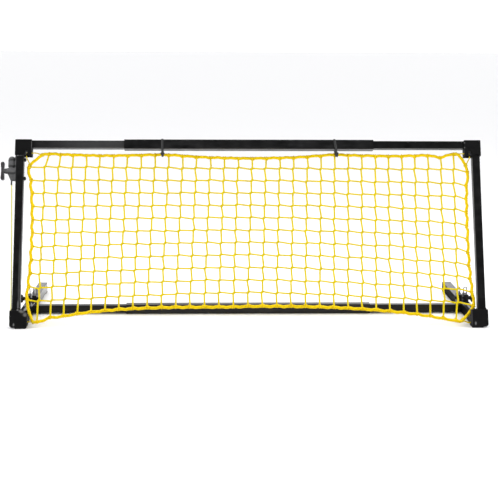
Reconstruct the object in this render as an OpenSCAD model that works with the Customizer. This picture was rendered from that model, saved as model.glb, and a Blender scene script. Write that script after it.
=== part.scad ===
// Low, wide practice goal: a net frame of square steel tube that leans back
// on two floor legs, with its net laced inside the frame.
// X runs across the goal, Y runs back from the front, Z is up.

/* [Goal] */
// Width across the outer faces of the posts
goal_w = 1524; // [1200:4:1860]
// Height of the crossbar's top face, measured up the lean from the floor
goal_h = 620; // [510:5:760]
// Lean of the net frame back from upright, in degrees
lean = 20.5; // [17:0.5:25]
// Reach of the legs back from the posts' front faces at floor level
leg_reach = 537; // [440:1:680]
// Distance of the rear bar's centre line behind the posts' front faces
rear_bar_y = 213; // [175:1:260]

/* [Tubes] */
// Outer width of the square post and bar tube
tube = 25.4; // [22:0.1:32]
// Wall of the post and bar tube
tube_wall = 1.2; // [0.9:0.1:2]
// Room all round between a tube and its centre sleeve
sleeve_gap = 2; // [1.5:0.1:4]
// Wall of the centre sleeves
sleeve_wall = 1.2; // [0.9:0.1:2]
// Length of the centre sleeves
sleeve_l = 820; // [500:5:1000]
// Outer width of the square leg tube
leg_tube = 31.8; // [26:0.1:38]
// Wall of the leg tube
leg_wall = 1.2; // [0.9:0.1:2.2]
// Outside corner radius of every tube
tube_r = 2.4; // [2.2:0.1:3]

/* [Corner blocks] */
// Wall of the moulded corner blocks round a tube
block_wall = 3; // [2.5:0.1:4]
// Reach of an upper block's cord lug inboard of the post's socket
lug_w = 22.8; // [19:0.1:28]
// Drop of an upper block's cord lug below the crossbar's socket
lug_h = 20.3; // [18:0.1:26]
// Width of the slot through that lug
eye_w = 8.4; // [7:0.1:10]
// Wall of a lower corner block inboard of the leg's socket
low_block_in = 5; // [3:0.5:8]
// Height of a lower corner block up the lean
low_block_h = 60; // [56:1:72]
// Overhang of a lower corner block past the post's outer face
low_block_out = 6; // [4:0.5:8]
// Edge radius of the corner blocks
block_r = 3; // [1.5:0.5:4]
// Thickness of the rubber foot pads, which is also the lift of the legs
foot_t = 4; // [3:0.5:6]
// Distance of a leg's centre line in from the post's outer face
leg_inset = 28; // [26:0.5:30]

/* [Net] */
// Gaps across the net
net_cols = 27; // [16:1:27]
// Gaps up the net
net_rows = 11; // [8:1:11]
// Thickness of the mesh cord
mesh_d = 3; // [2:0.5:4]
// Thickness of the hem rope round the net
hem_d = 8; // [6:0.5:10]
// Clearance between the hem and the posts' inner faces at the net's corners
net_side_gap = 15; // [12:1:30]
// Drop of the hem's middle below the crossbar at the net's corners
net_top_gap = 17; // [7:0.2:24]
// Extra drop of the hem where the cable ties hold it
tie_drop = 2; // [2:1:14]
// Sag of the top hem between two holding points
hem_sag = 12; // [4:1:20]
// Height of the bottom hem's lower corners, up the lean
net_low = 23; // [18:1:40]
// Rise of the bottom hem between its corners
hem_rise = 49; // [20:1:70]
// Draw-in of the side hems at mid height
side_waist = 13; // [4:1:24]
// Thickness of the lacing and tension cord
cord_d = 3; // [2:0.5:3]

/* [Cable ties] */
// Width of a cable tie's strap
tie_w = 4.8; // [3.6:0.1:6]
// Thickness of a cable tie's strap
tie_t = 1.3; // [1:0.1:1.6]
// Mesh column, counted from the side, next to which a tie goes through the net
tie_col = 8; // [3:1:10]
// Distance of the tie from that column
tie_beside = 14; // [8:1:20]

/* [Cord winder] */
// Gap between the winder's top and the upper corner block
winder_gap = 1.2; // [1:0.1:20]
// Radius of the winder's barrel
barrel_r = 12; // [11:0.5:15]
// Radius of the winder's shaft
shaft_r = 4; // [3.5:0.1:4.2]
// Length of the wing knob from tip to tip
wing_l = 61; // [50:1:70]
// Teeth of the ratchet wheel
ratchet_teeth = 12; // [8:1:16]

/* [Leg clamps] */
// Distance of a clamp's centre line behind the rear bar's
clamp_back = 49; // [45:1:90]
// Length of a clamp along the leg
clamp_l = 36; // [32:1:44]
// Wall of a clamp's collar
clamp_wall = 3; // [2.2:0.1:3.4]
// Height of a clamp's cheeks above the leg
cheek_h = 17; // [15:1:22]
// Gap between a clamp's two cheeks
cheek_gap = 8; // [5:0.5:9]
// Thickness of the wire of the peg loops
wire_d = 2.8; // [2.5:0.1:3.6]
// Height of the peg loops above the cheeks
loop_h = 23; // [16:1:32]
// Radius of a clamp's thumb knob
thumb_r = 14; // [11:0.5:15]

/* [Fits] */
// Gap all round a tube in its socket
socket_gap = 0.15; // [0.1:0.05:0.3]
// Gap all round a part that slides or stands free
slide_gap = 0.3; // [0.2:0.05:0.5]
// Radial gap of a turning shaft in its bore
run_gap = 0.05; // [0.02:0.01:0.1]

/* [Hidden] */
$fn = 48;

// Point on the floor plan's Y and Z from a place on the leaning frame
function lean_yz(n, t) = [t * sin(lean) + n * cos(lean), t * cos(lean) - n * sin(lean)];

// Height up the lean at which depth n is the given height above the floor
function t_at(n, z) = (z + n * sin(lean)) / cos(lean);

// Sides of the frame: 1 is right, -1 is left.
half_w = goal_w / 2;
mid_n = tube / 2;                       // the net lies in the tubes' middle plane
post_x = half_w - tube / 2;
bar_t = goal_h - tube / 2;              // crossbar's centre line, up the lean
sleeve = tube + 2 * (sleeve_gap + sleeve_wall);
bar_grip = tube + 2 * socket_gap;
leg_grip = leg_tube + 2 * socket_gap;
leg_x = half_w - leg_inset;
leg_z = foot_t + leg_tube / 2;

// Upper corner blocks
top_out = half_w + block_wall + socket_gap;
top_in = half_w - tube - socket_gap - block_wall - lug_w;
top_block_w = top_out - top_in;
top_t = goal_h + block_wall + socket_gap;
post_top_t = goal_h - tube - block_wall;
bar_wall_t = post_top_t - socket_gap;   // underside of the crossbar's socket
top_low_t = bar_wall_t - block_wall - lug_h;
top_block_h = top_t - top_low_t;
block_front = -block_wall - socket_gap;
block_back = tube + block_wall + socket_gap;
eye_sill = 2.8;
eye_h = lug_h - eye_sill - 2.5;
eye_out = top_in + lug_w - 0.4;
eye_in = eye_out - eye_w;
eye_drop_x = eye_in + 3.4;              // cord's way down through the lug's lower wall
lace_n = 5;
lace_in_t = top_low_t + 9.8;            // cord's way into the lug from the net
mouth_r = tube / 2 + 0.8;               // arched lower edge round the post

// Lower corner blocks
low_out = half_w + low_block_out;
low_in = leg_x - leg_grip / 2 - low_block_in;
low_block_w = low_out - low_in;
post_foot_t = 31;                       // lower end of the posts
cord_t = 24;                            // cord's way through the lower blocks
cord_bend = 8;
cord_bore_r = cord_d / 2 + 0.4;
cord_x = half_w + cord_bore_r + 2.4;    // cord beside the post, in the block's wall
collar_wall = 1.6;
collar_h = 5;
scoop_r = 26;
scoop_n = block_front - 11.85;
boss_in = half_w + socket_gap + collar_wall + 0.05;
boss_out = cord_x + cord_bore_r + 2.9;
leg_front_y = lean_yz(tube, t_at(tube, foot_t + leg_tube))[0] + 3.5;
leg_socket_back = leg_front_y + 34;
leg_block_top = foot_t + leg_tube + block_wall + socket_gap;
block_foot_y = lean_yz(block_front, t_at(block_front, foot_t))[0];
pad_front_y = block_foot_y + 1;
pad_back_y = leg_front_y - 2;

// Bars
bush_l = 45;
bush_gap = 0.2;
bar_end_x = half_w - 0.2;
rear_bar_z = sleeve / 2 + 0.6;          // keeps the rear sleeve just off the floor
rear_end_x = leg_x - leg_tube / 2 - 0.2;
plug_l = 42;
bolt_r = 3;

// Winder: x points out from the post, y back, z up the lean
barrel_x = barrel_r + 2;
barrel_top = 37;
hub_r = 12.2;
boss_l = barrel_x + 19;
plate_low = -33;
spool_r = barrel_r - 4;
spool_l = boss_l - 11;
screw_high = 38;
screw_low = -25;
plate_high = screw_high + 10;
hub_l = barrel_x + 14;
neck_r = 9;
waist_h = 15;                           // the barrel is drawn in up to here, round the hub
winder_t = top_low_t - winder_gap - plate_high;
ferrule_l = 17;
ferrule_in = 3;
wing_x = boss_l + 4.5;
wing_t = 12;

// Leg clamps: the leg's centre line is the middle
clamp_y = rear_bar_y + clamp_back;
clamp_in = leg_tube / 2 + slide_gap;
clamp_out = clamp_in + clamp_wall;
cheek_top = clamp_in + cheek_h;
clamp_bolt_y = -11.5;
clamp_bolt_z = clamp_in + 5.4;
loop_y = 8;
loop_r = 5.5;
loop_seat = 8;
thumb_x = clamp_out + 9;
thumb_t = 11;
nut_l = 10;

// Middle of the footprint, which is the model's origin
footprint_x = (leg_x + thumb_x + thumb_t - half_w - wing_x - wing_t) / 2;
footprint_y = (block_foot_y + leg_reach) / 2;

// ---- Shared shapes ----

function arc(c, r, a0, a1, n = 6) =
    [for (k = [0:n]) c + r * [cos(a0 + (a1 - a0) * k / n), sin(a0 + (a1 - a0) * k / n)]];

// Outline of a rectangle about its middle, with round corners
function round_rect(w, h, r, n = 5) = concat(
    arc([w / 2 - r, h / 2 - r], r, 0, 90, n),
    arc([r - w / 2, h / 2 - r], r, 90, 180, n),
    arc([r - w / 2, r - h / 2], r, 180, 270, n),
    arc([w / 2 - r, r - h / 2], r, 270, 360, n));

module placed() translate([-footprint_x, -footprint_y, 0]) children();

// Right-hand shape, mirrored for the left
module on_side(side) mirror([side < 0 ? 1 : 0, 0, 0]) children();

// The leaning frame: y is square to it towards the back, z runs up it
module leaning() rotate([-lean, 0, 0]) children();

module along_x() rotate([90, 0, 90]) children();

module along_y() rotate([90, 0, 0]) mirror([0, 0, 1]) children();

module square_tube(w, wall, l) linear_extrude(l) difference() {
    polygon(round_rect(w, w, tube_r));
    polygon(round_rect(w - 2 * wall, w - 2 * wall, max(tube_r - wall, 0.4)));
}

module square_core(w, l) linear_extrude(l) polygon(round_rect(w, w, tube_r));

// Tube swept along 3-D points, as a ring of points round each
function unit(v) = v / norm(v);

function along(p, k) = unit(p[min(k + 1, len(p) - 1)] - p[max(k - 1, 0)]);

function ring(c, dir, ref, r, sides) =
    let (u = unit(cross(dir, ref)), v = cross(u, dir))
    [for (s = [0:sides - 1]) c + r * (cos(360 * s / sides) * u + sin(360 * s / sides) * v)];

module swept_cord(path, d, ref = [0, 1, 0], sides = 8) {
    rings = len(path);
    points = [for (k = [0:rings - 1]) each ring(path[k], along(path, k), ref, d / 2, sides)];
    skin = [for (k = [0:rings - 2]) for (s = [0:sides - 1]) for (half = [0, 1])
        let (a = k * sides + s, b = k * sides + (s + 1) % sides)
        half == 0 ? [a, b, b + sides] : [a, b + sides, a + sides]];
    first = [for (s = [0:sides - 1]) sides - 1 - s];
    last = [for (s = [0:sides - 1]) (rings - 1) * sides + s];
    polyhedron(points, concat([first], skin, [last]), convexity = 6);
}

// ---- Screws that hold the tubes in the corner blocks ----

screw_r = 2;
screw_head_r = 4;
screw_head_t = 2.2;
screw_l = block_wall + socket_gap + tube_wall + 3;
screw_gap = 0.2;
side_screw_l = low_block_out + tube_wall + 3;

// Each place turns +z to point out of the face that the screw goes in
module at_top_post_screw() translate([post_x, block_back, bar_wall_t - 13]) rotate([-90, 0, 0]) children();

module at_top_bar_screw() translate([top_in + 11, block_back, bar_t]) rotate([-90, 0, 0]) children();

module at_low_post_screw() translate([low_out, tube - 4, post_foot_t + 14]) rotate([0, 90, 0]) children();

module at_low_leg_screw()
    translate([leg_x - leg_grip / 2 - block_wall, leg_socket_back - 12, leg_z])
        rotate([0, -90, 0]) children();

module screw(l) {
    translate([0, 0, -l]) cylinder(r = screw_r, h = l);
    cylinder(r1 = screw_head_r, r2 = screw_head_r - 1, h = screw_head_t);
}

module screw_hole(l) translate([0, 0, -l - 1]) cylinder(r = screw_r + screw_gap, h = l + 2);

module corner_screws() color("dimgray") for (side = [-1, 1]) on_side(side) {
    leaning() {
        at_top_post_screw() screw(screw_l);
        at_top_bar_screw() screw(screw_l);
        at_low_post_screw() screw(side_screw_l);
    }
    at_low_leg_screw() screw(screw_l);
}

// ---- Posts, crossbar and rear bar ----

module post(side) difference() {
    on_side(side) leaning() difference() {
        translate([post_x, mid_n, post_foot_t])
            square_tube(tube, tube_wall, post_top_t - post_foot_t - 2 * socket_gap);
        at_top_post_screw() screw_hole(screw_l);
        at_low_post_screw() screw_hole(side_screw_l);
    }
    if (side < 0) at_winder() for (z = [screw_low, screw_high])
        translate([-tube - 1, 0, z]) along_x() cylinder(r = winder_screw_r + screw_gap, h = tube + 2);
}

module post_left() color([0.10, 0.10, 0.10]) post(-1);

module post_right() color([0.10, 0.10, 0.10]) post(1);

module crossbar_tube(side) on_side(side) leaning() difference() {
    translate([0.2, mid_n, bar_t]) along_x() square_tube(tube, tube_wall, bar_end_x - 0.2);
    at_top_bar_screw() screw_hole(screw_l);
}

module crossbar_tube_left() color([0.11, 0.11, 0.11]) crossbar_tube(-1);

module crossbar_tube_right() color([0.11, 0.11, 0.11]) crossbar_tube(1);

module sleeve_tube() translate([-sleeve_l / 2, 0, 0]) along_x() square_tube(sleeve, sleeve_wall, sleeve_l);

// Moulded bushes that take up the room between sleeve and tube at the sleeve's ends
module sleeve_bushes() for (side = [-1, 1]) on_side(side)
    translate([sleeve_l / 2 - bush_l, 0, 0]) along_x() difference() {
        square_core(sleeve - 2 * sleeve_wall - 2 * bush_gap, bush_l);
        translate([0, 0, -1]) square_core(bar_grip, bush_l + 2);
    }

module at_crossbar() leaning() translate([0, mid_n, bar_t]) children();

module at_rear_bar() translate([0, rear_bar_y, rear_bar_z]) children();

module crossbar_sleeve() color([0.12, 0.12, 0.12]) at_crossbar() sleeve_tube();

module crossbar_bushes() color([0.08, 0.08, 0.08]) at_crossbar() sleeve_bushes();

module rear_bar_tube(side) on_side(side) at_rear_bar()
    translate([0.2, 0, 0]) along_x() square_tube(tube, tube_wall, rear_end_x - 0.2);

module rear_bar_tube_left() color([0.11, 0.11, 0.11]) rear_bar_tube(-1);

module rear_bar_tube_right() color([0.11, 0.11, 0.11]) rear_bar_tube(1);

module rear_bar_sleeve() color([0.12, 0.12, 0.12]) at_rear_bar() sleeve_tube();

module rear_bar_bushes() color([0.08, 0.08, 0.08]) at_rear_bar() sleeve_bushes();

// Plugs in the bar's ends, which the bolts through the legs screw into
module rear_bar_plugs() color([0.08, 0.08, 0.08]) for (side = [-1, 1]) on_side(side)
    at_rear_bar() translate([rear_end_x - plug_l, 0, 0]) along_x() difference() {
        square_core(tube - 2 * tube_wall - 2 * bush_gap, plug_l);
        translate([0, 0, 6]) cylinder(r = bolt_r + screw_gap, h = plug_l);
    }

module rear_bar_bolts() color("dimgray") for (side = [-1, 1]) on_side(side) at_rear_bar() {
    translate([rear_end_x - plug_l + 8, 0, 0]) along_x() cylinder(r = bolt_r, h = plug_l + leg_tube - 7.8);
    translate([leg_x + leg_tube / 2, 0, 0]) along_x() {
        cylinder(r = 7, h = 1);
        cylinder(r1 = 5.5, r2 = 4, h = 3.4);
    }
}

// ---- Legs ----

module leg(side) on_side(side) difference() {
    translate([leg_x, leg_front_y, leg_z]) along_y()
        square_tube(leg_tube, leg_wall, leg_reach - cap_t - leg_front_y);
    at_low_leg_screw() screw_hole(screw_l);
    translate([leg_x - leg_tube, rear_bar_y, rear_bar_z]) along_x()
        cylinder(r = bolt_r + screw_gap, h = 2 * leg_tube);
}

module leg_left() color([0.13, 0.13, 0.13]) leg(-1);

module leg_right() color([0.13, 0.13, 0.13]) leg(1);

cap_t = 4;
cap_plug_l = 30;
cap_toe_l = 30;

// End cap: a plug in the tube, a flange over its end and a toe under it
module leg_end_cap(side) on_side(side) translate([leg_x, 0, 0]) {
    translate([0, leg_reach - cap_t - cap_plug_l, leg_z]) along_y() difference() {
        square_core(leg_tube - 2 * leg_wall - 2 * bush_gap, cap_plug_l + 0.5);
        translate([0, 0, -1]) square_core(leg_tube - 2 * leg_wall - 6, cap_plug_l - 3);
    }
    translate([0, leg_reach - cap_t, (foot_t + leg_tube) / 2]) along_y()
        linear_extrude(cap_t) polygon(round_rect(leg_tube, foot_t + leg_tube, tube_r));
    translate([0, leg_reach - cap_t - cap_toe_l, 0]) toe_pad(leg_tube - 4, cap_toe_l + 1, foot_t - 0.05);
}

module toe_pad(w, l, t) translate([0, l / 2, 0]) linear_extrude(t) polygon(round_rect(w, l, 3));

module leg_end_cap_left() color([0.07, 0.07, 0.07]) leg_end_cap(-1);

module leg_end_cap_right() color([0.07, 0.07, 0.07]) leg_end_cap(1);

// ---- Upper corner blocks: elbow sockets with an eye for the lacing cord ----

module top_block(side) on_side(side) leaning() difference() {
    intersection() {
        translate([0, block_front, 0]) along_y() linear_extrude(block_back - block_front) union() {
            translate([(top_in + top_out) / 2, (bar_wall_t - block_wall + top_t) / 2])
                polygon(round_rect(top_block_w, top_t - bar_wall_t + block_wall, block_r));
            translate([post_x, top_t - top_block_h / 2])
                polygon(round_rect(bar_grip + 2 * block_wall, top_block_h, block_r));
            translate([top_in + (lug_w + 4) / 2, top_low_t + (lug_h + 8) / 2])
                polygon(round_rect(lug_w + 4, lug_h + 8, 2));
        }
        translate([top_in - 1, (block_front + block_back) / 2, top_t - top_block_h / 2]) along_x()
            linear_extrude(top_block_w + 2)
                polygon(round_rect(block_back - block_front, top_block_h, block_r));
    }
    translate([post_x, mid_n, top_low_t - 1]) square_core(bar_grip, post_top_t - top_low_t + 1);
    translate([top_in - 1, mid_n, bar_t]) along_x() square_core(bar_grip, half_w - top_in + 1);
    translate([post_x, -50, top_low_t - mouth_r / 2]) along_y() cylinder(r = mouth_r, h = 100);
    at_top_post_screw() screw_hole(screw_l);
    at_top_bar_screw() screw_hole(screw_l);
    lug_slot();
}

// Slot through the lug in the inner corner, and the two bores that lead the lacing cord to it
module lug_slot() {
    translate([(eye_in + eye_out) / 2, block_front - 1, top_low_t + eye_sill + eye_h / 2]) along_y()
        linear_extrude(block_back - block_front + 2) polygon(round_rect(eye_w, eye_h, 3));
    translate([top_in - 1, lace_n, lace_in_t]) along_x() cylinder(r = cord_bore_r, h = eye_in - top_in + 2);
    translate([eye_drop_x, lace_n, top_low_t - 1]) cylinder(r = cord_bore_r, h = eye_sill + 2);
}

module corner_block_top_left() color([0.09, 0.09, 0.09]) top_block(-1);

module corner_block_top_right() color([0.09, 0.09, 0.09]) top_block(1);

// ---- Lower corner blocks: a leaning socket for the post, a level one for the leg ----

module low_block(side) difference() {
    union() {
        intersection() {
            translate([low_in, 0, 0]) along_x() linear_extrude(low_block_w) polygon([
                lean_yz(block_front, t_at(block_front, foot_t)),
                lean_yz(block_back, t_at(block_back, foot_t)),
                lean_yz(block_back, low_block_h - block_r),
                lean_yz(block_back - block_r, low_block_h),
                lean_yz(block_front + block_r, low_block_h),
                lean_yz(block_front, low_block_h - block_r)
            ]);
            translate([0, -50, 0]) along_y() linear_extrude(200) polygon(concat(
                arc([low_out - 9, foot_t + 9], 9, 270, 360, 8),
                arc([low_out - block_r, 90], block_r, 0, 90),
                arc([low_in + block_r, 90], block_r, 90, 180),
                arc([low_in + block_r, foot_t + block_r], block_r, 180, 270)));
        }
        translate([leg_x, 12, 0]) along_y() linear_extrude(leg_socket_back - 12)
            translate([0, (foot_t + leg_block_top) / 2])
                polygon(round_rect(leg_grip + 2 * block_wall, leg_block_top - foot_t, block_r));
        leaning() translate([post_x, mid_n, low_block_h - 1]) square_core(bar_grip + 2 * collar_wall, collar_h + 1);
        if (side < 0) leaning() translate([(boss_in + boss_out) / 2, mid_n, cord_t + cord_bend])
            linear_extrude(low_block_h - cord_t - cord_bend) polygon(round_rect(boss_out - boss_in, 10, 4));
    }
    leaning() translate([post_x, mid_n, post_foot_t - 0.2]) square_core(bar_grip, low_block_h);
    translate([leg_x, leg_front_y - 0.2, leg_z]) along_y() square_core(leg_grip, leg_socket_back);
    leaning() at_low_post_screw() screw_hole(side_screw_l);
    at_low_leg_screw() screw_hole(screw_l);
    leaning() if (side < 0) {
        cord_way();
        translate([low_in, scoop_n, low_block_h]) sphere(r = scoop_r);
    } else {
        cord_hole();
    }
}

// Bent bore that leads the tension cord under the post to the net's corner
module cord_way() {
    translate([cord_x, mid_n, cord_t + cord_bend]) cylinder(r = cord_bore_r, h = low_block_h);
    translate([cord_x - cord_bend, mid_n, cord_t + cord_bend]) rotate([90, 0, 0])
        rotate([0, 0, -90]) rotate_extrude(angle = 90) translate([cord_bend, 0]) circle(r = cord_bore_r);
    translate([low_in - 5, mid_n, cord_t]) along_x()
        cylinder(r = cord_bore_r, h = cord_x - cord_bend - low_in + 5);
}

// Plain bore for the knotted end of the lacing cord
module cord_hole() translate([low_in - 5, mid_n, lace_t]) along_x() cylinder(r = cord_bore_r, h = 20);

lace_t = 18;

module corner_block_bottom_left() color([0.08, 0.08, 0.08]) on_side(-1) low_block(-1);

module corner_block_bottom_right() color([0.08, 0.08, 0.08]) low_block(1);

module foot_pad(side) on_side(side) translate([leg_x, pad_front_y, 0])
    toe_pad(leg_tube + 4, pad_back_y - pad_front_y, foot_t);

module foot_pad_left() color([0.05, 0.05, 0.05]) foot_pad(-1);

module foot_pad_right() color([0.05, 0.05, 0.05]) foot_pad(1);

// ---- Net: all its places are across the goal and up the lean ----

side_x = half_w - tube - net_side_gap;          // side hems at the corners
corner_cut_x = 42;
corner_cut_t = 40;
low_cut_x = 23;
low_cut_t = 46;
top_corner_t = goal_h - tube - net_top_gap;
top_x = side_x - corner_cut_x;
low_x = side_x - 9 - low_cut_x;
first_row_t = net_low + low_cut_t;
last_row_t = top_corner_t - corner_cut_t;
mesh_pitch_x = 2 * top_x / (net_cols - 2);
tie_x = top_x - (tie_col - 1) * mesh_pitch_x - tie_beside;
tie_hem_t = top_corner_t - tie_drop;
mid_low_t = net_low + hem_rise + 42;            // lowest row at the net's middle
mid_high_t = tie_hem_t - hem_sag - 34;          // highest row there

// Height of the top hem: it sags between corner and tie, and between the ties
function top_hem(x) = abs(x) > tie_x
    ? let (f = (abs(x) - tie_x) / (top_x - tie_x))
        tie_hem_t + (top_corner_t - tie_hem_t) * f - 4 * (hem_sag - 2) * f * (1 - f)
    : tie_hem_t - hem_sag * (1 - pow(x / tie_x, 2));

// Height of the bottom hem: an arch between its corners
function bottom_hem(x) = net_low + hem_rise * (1 - pow(abs(x) / low_x, 3));

// Half width of the net at a height: it narrows in a sine to mid height
function side_hem(t) =
    let (f = (t - first_row_t) / (last_row_t - first_row_t))
    side_x - 9 * (1 - f) * (1 - f) - side_waist * sin(180 * max(0, min(1, f)));

function column_x(i, t) =
    let (u = 2 * (i - 1) / (net_cols - 2) - 1,
         f = (t - net_low) / (top_corner_t - net_low))
    u * (low_x + (top_x - low_x) * f - side_waist * sin(180 * max(0, min(1, f))));

function row_t(j, u) =
    let (f = (j - 1) / (net_rows - 2),
         side = first_row_t + (last_row_t - first_row_t) * f,
         middle = mid_low_t + (mid_high_t - mid_low_t) * f)
    middle + (side - middle) * pow(abs(u), 3);

// Knot of column i and row j; the outermost ones lie on the hem
function knot(i, j) =
    let (u = 2 * i / net_cols - 1)
    j == 0 ? let (x = column_x(i, net_low)) [x, bottom_hem(x)]
    : j == net_rows ? let (x = column_x(i, top_corner_t)) [x, top_hem(x)]
    : let (t = row_t(j, u))
        i == 0 ? [-side_hem(t), t]
        : i == net_cols ? [side_hem(t), t]
        : [column_x(i, t), t];

// Corner of a gap, drawn in from its knot by half a cord's thickness each way
function gap_corner(p, q, r) = p + mesh_d / 2 * (unit(q - p) + unit(r - p));

// Corners of one gap in order; the four corner gaps are triangles
function gap_knots(i, j) = [
    for (c = [[i, j], [i + 1, j], [i + 1, j + 1], [i, j + 1]])
        if ((c[0] > 0 && c[0] < net_cols) || (c[1] > 0 && c[1] < net_rows)) knot(c[0], c[1])];

function gap_outline(k) =
    let (n = len(k))
    [for (s = [0:n - 1]) gap_corner(k[s], k[(s + 1) % n], k[(s + n - 1) % n])];

hem_line = concat(
    [for (i = [1:net_cols - 1]) knot(i, 0)],
    [for (j = [1:net_rows - 1]) knot(net_cols, j)],
    [for (i = [1:net_cols - 1]) each concat([knot(net_cols - i, net_rows)],
        i == tie_col || i == net_cols - tie_col - 1
            ? [[i == tie_col ? tie_x : -tie_x, tie_hem_t]] : [])],
    [for (j = [1:net_rows - 1]) knot(0, net_rows - j)]);

module net_mesh() color([0.95, 0.80, 0.05]) leaning()
    translate([0, mid_n - mesh_d / 2, 0]) along_y() linear_extrude(mesh_d) difference() {
        polygon(hem_line);
        for (i = [0:net_cols - 1]) for (j = [0:net_rows - 1]) polygon(gap_outline(gap_knots(i, j)));
    }

// Rope round the whole net, one ring of points at each knot
module net_hem_rope() color([0.96, 0.82, 0.04]) leaning() {
    sides = 8;
    rings = len(hem_line);
    points = [for (k = [0:rings - 1])
        let (c = hem_line[k],
             dir = unit(hem_line[(k + 1) % rings] - hem_line[(k + rings - 1) % rings]),
             out = [dir[1], -dir[0]])
        for (s = [0:sides - 1])
            let (a = 360 * (s + 0.5) / sides, e = hem_d / 2 * cos(a))
            [c[0] + out[0] * e, mid_n + hem_d / 2 * sin(a), c[1] + out[1] * e]];
    skin = [for (k = [0:rings - 1]) for (s = [0:sides - 1]) for (half = [0, 1])
        let (a = k * sides + s, b = k * sides + (s + 1) % sides,
             c = ((k + 1) % rings) * sides + s, d = ((k + 1) % rings) * sides + (s + 1) % sides)
        half == 0 ? [a, b, d] : [a, d, c]];
    polyhedron(points, skin, convexity = 10);
}

// ---- Lacing and tension cords ----

hem_hold = hem_d / 2 - 1;                       // how far outside the hem's middle a cord starts

// From the top hem into the lug, round in its slot, out at the bottom and down to the side hem
lace_top_route = [
    [top_x + hem_hold, mid_n, top_corner_t + 1],
    [top_in - 12, lace_n + 4, lace_in_t + 0.8],
    [top_in - 3, lace_n, lace_in_t],
    [eye_drop_x - 2.6, lace_n, lace_in_t],
    [eye_drop_x - 0.9, lace_n, lace_in_t - 0.8],
    [eye_drop_x - 0.1, lace_n, lace_in_t - 2.4],
    [eye_drop_x, lace_n, lace_in_t - 4.5],
    [eye_drop_x, lace_n, top_low_t - 2],
    [eye_drop_x - 1, lace_n + 1.5, top_low_t - 7],
    [side_x + 1, mid_n, last_row_t + hem_hold + 1]
];

module lacing_cord_top(side) on_side(side) leaning() swept_cord(lace_top_route, cord_d);

module lacing_cord_top_left() color([0.95, 0.86, 0.30]) lacing_cord_top(-1);

module lacing_cord_top_right() color([0.95, 0.86, 0.30]) lacing_cord_top(1);

// From the net's lower corner into the block
module lacing_cord_bottom_right() color([0.95, 0.84, 0.20]) leaning() swept_cord([
    [low_x + hem_hold, mid_n, net_low],
    [low_in - 12, mid_n, lace_t + 2],
    [low_in - 3, mid_n, lace_t],
    [low_in + 9, mid_n, lace_t]
], cord_d);

cord_turn = [for (a = [0:-15:-90]) [-cord_x + cord_bend - cord_bend * cos(a), mid_n,
    cord_t + cord_bend + cord_bend * sin(a)]];

// From the spool down the post, through the lower block to the net's corner
module tension_cord() color([0.93, 0.90, 0.62]) leaning() swept_cord(concat(
    [
        [-half_w - barrel_x, mid_n, winder_t - spool_r + 1.6],
        [-half_w - barrel_x, mid_n, winder_t + plate_low - ferrule_l + ferrule_in - 1],
        [-cord_x, mid_n, low_block_h + 5],
    ],
    cord_turn,
    [
        [-low_in - 6, mid_n, cord_t],
        [-low_in + 6, mid_n, cord_t],
        [-low_x - hem_hold, mid_n, net_low + 0.5]
    ]), cord_d);

// ---- Cable ties round the crossbar's sleeve and the top hem ----

module tie_outline(grow) polygon(concat(
    arc([mid_n, tie_hem_t], hem_d / 2 + slide_gap + grow, 200, 340, 8),
    [
        [mid_n + sleeve / 2 + slide_gap + grow, bar_t - sleeve / 2],
        [mid_n + sleeve / 2 + slide_gap + grow, bar_t + sleeve / 2 + slide_gap + grow - 1.5],
        [mid_n + sleeve / 2 + slide_gap + grow - 1.5, bar_t + sleeve / 2 + slide_gap + grow],
        [mid_n - sleeve / 2 - slide_gap - grow + 1.5, bar_t + sleeve / 2 + slide_gap + grow],
        [mid_n - sleeve / 2 - slide_gap - grow, bar_t + sleeve / 2 + slide_gap + grow - 1.5],
        [mid_n - sleeve / 2 - slide_gap - grow, bar_t - sleeve / 2]
    ]));

module cable_tie(side) on_side(side) leaning() {
    translate([tie_x - tie_w / 2, 0, 0]) along_x() linear_extrude(tie_w) difference() {
        tie_outline(tie_t);
        tie_outline(0);
    }
    translate([tie_x, mid_n - hem_d / 2 - slide_gap - tie_t + 0.4, tie_hem_t]) rotate([8, 0, 0])
        translate([0, -2.4, 3]) rotate([0, 90, 0]) rotate([0, 0, 90]) tie_head();
}

// Head of a cable tie: a small block with rounded corners
module tie_head() translate([0, 0, -5]) linear_extrude(10) polygon(round_rect(5.6, 11, 1.4));

module cable_tie_left() color([0.05, 0.05, 0.05]) cable_tie(-1);

module cable_tie_right() color([0.05, 0.05, 0.05]) cable_tie(1);

// ---- Cord winder on the left post ----

winder_screw_r = 2.4;
winder_cap_r = 6.4;                     // domed caps inside the post

module at_winder() leaning() translate([-half_w, mid_n, winder_t]) mirror([1, 0, 0]) children();

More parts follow.
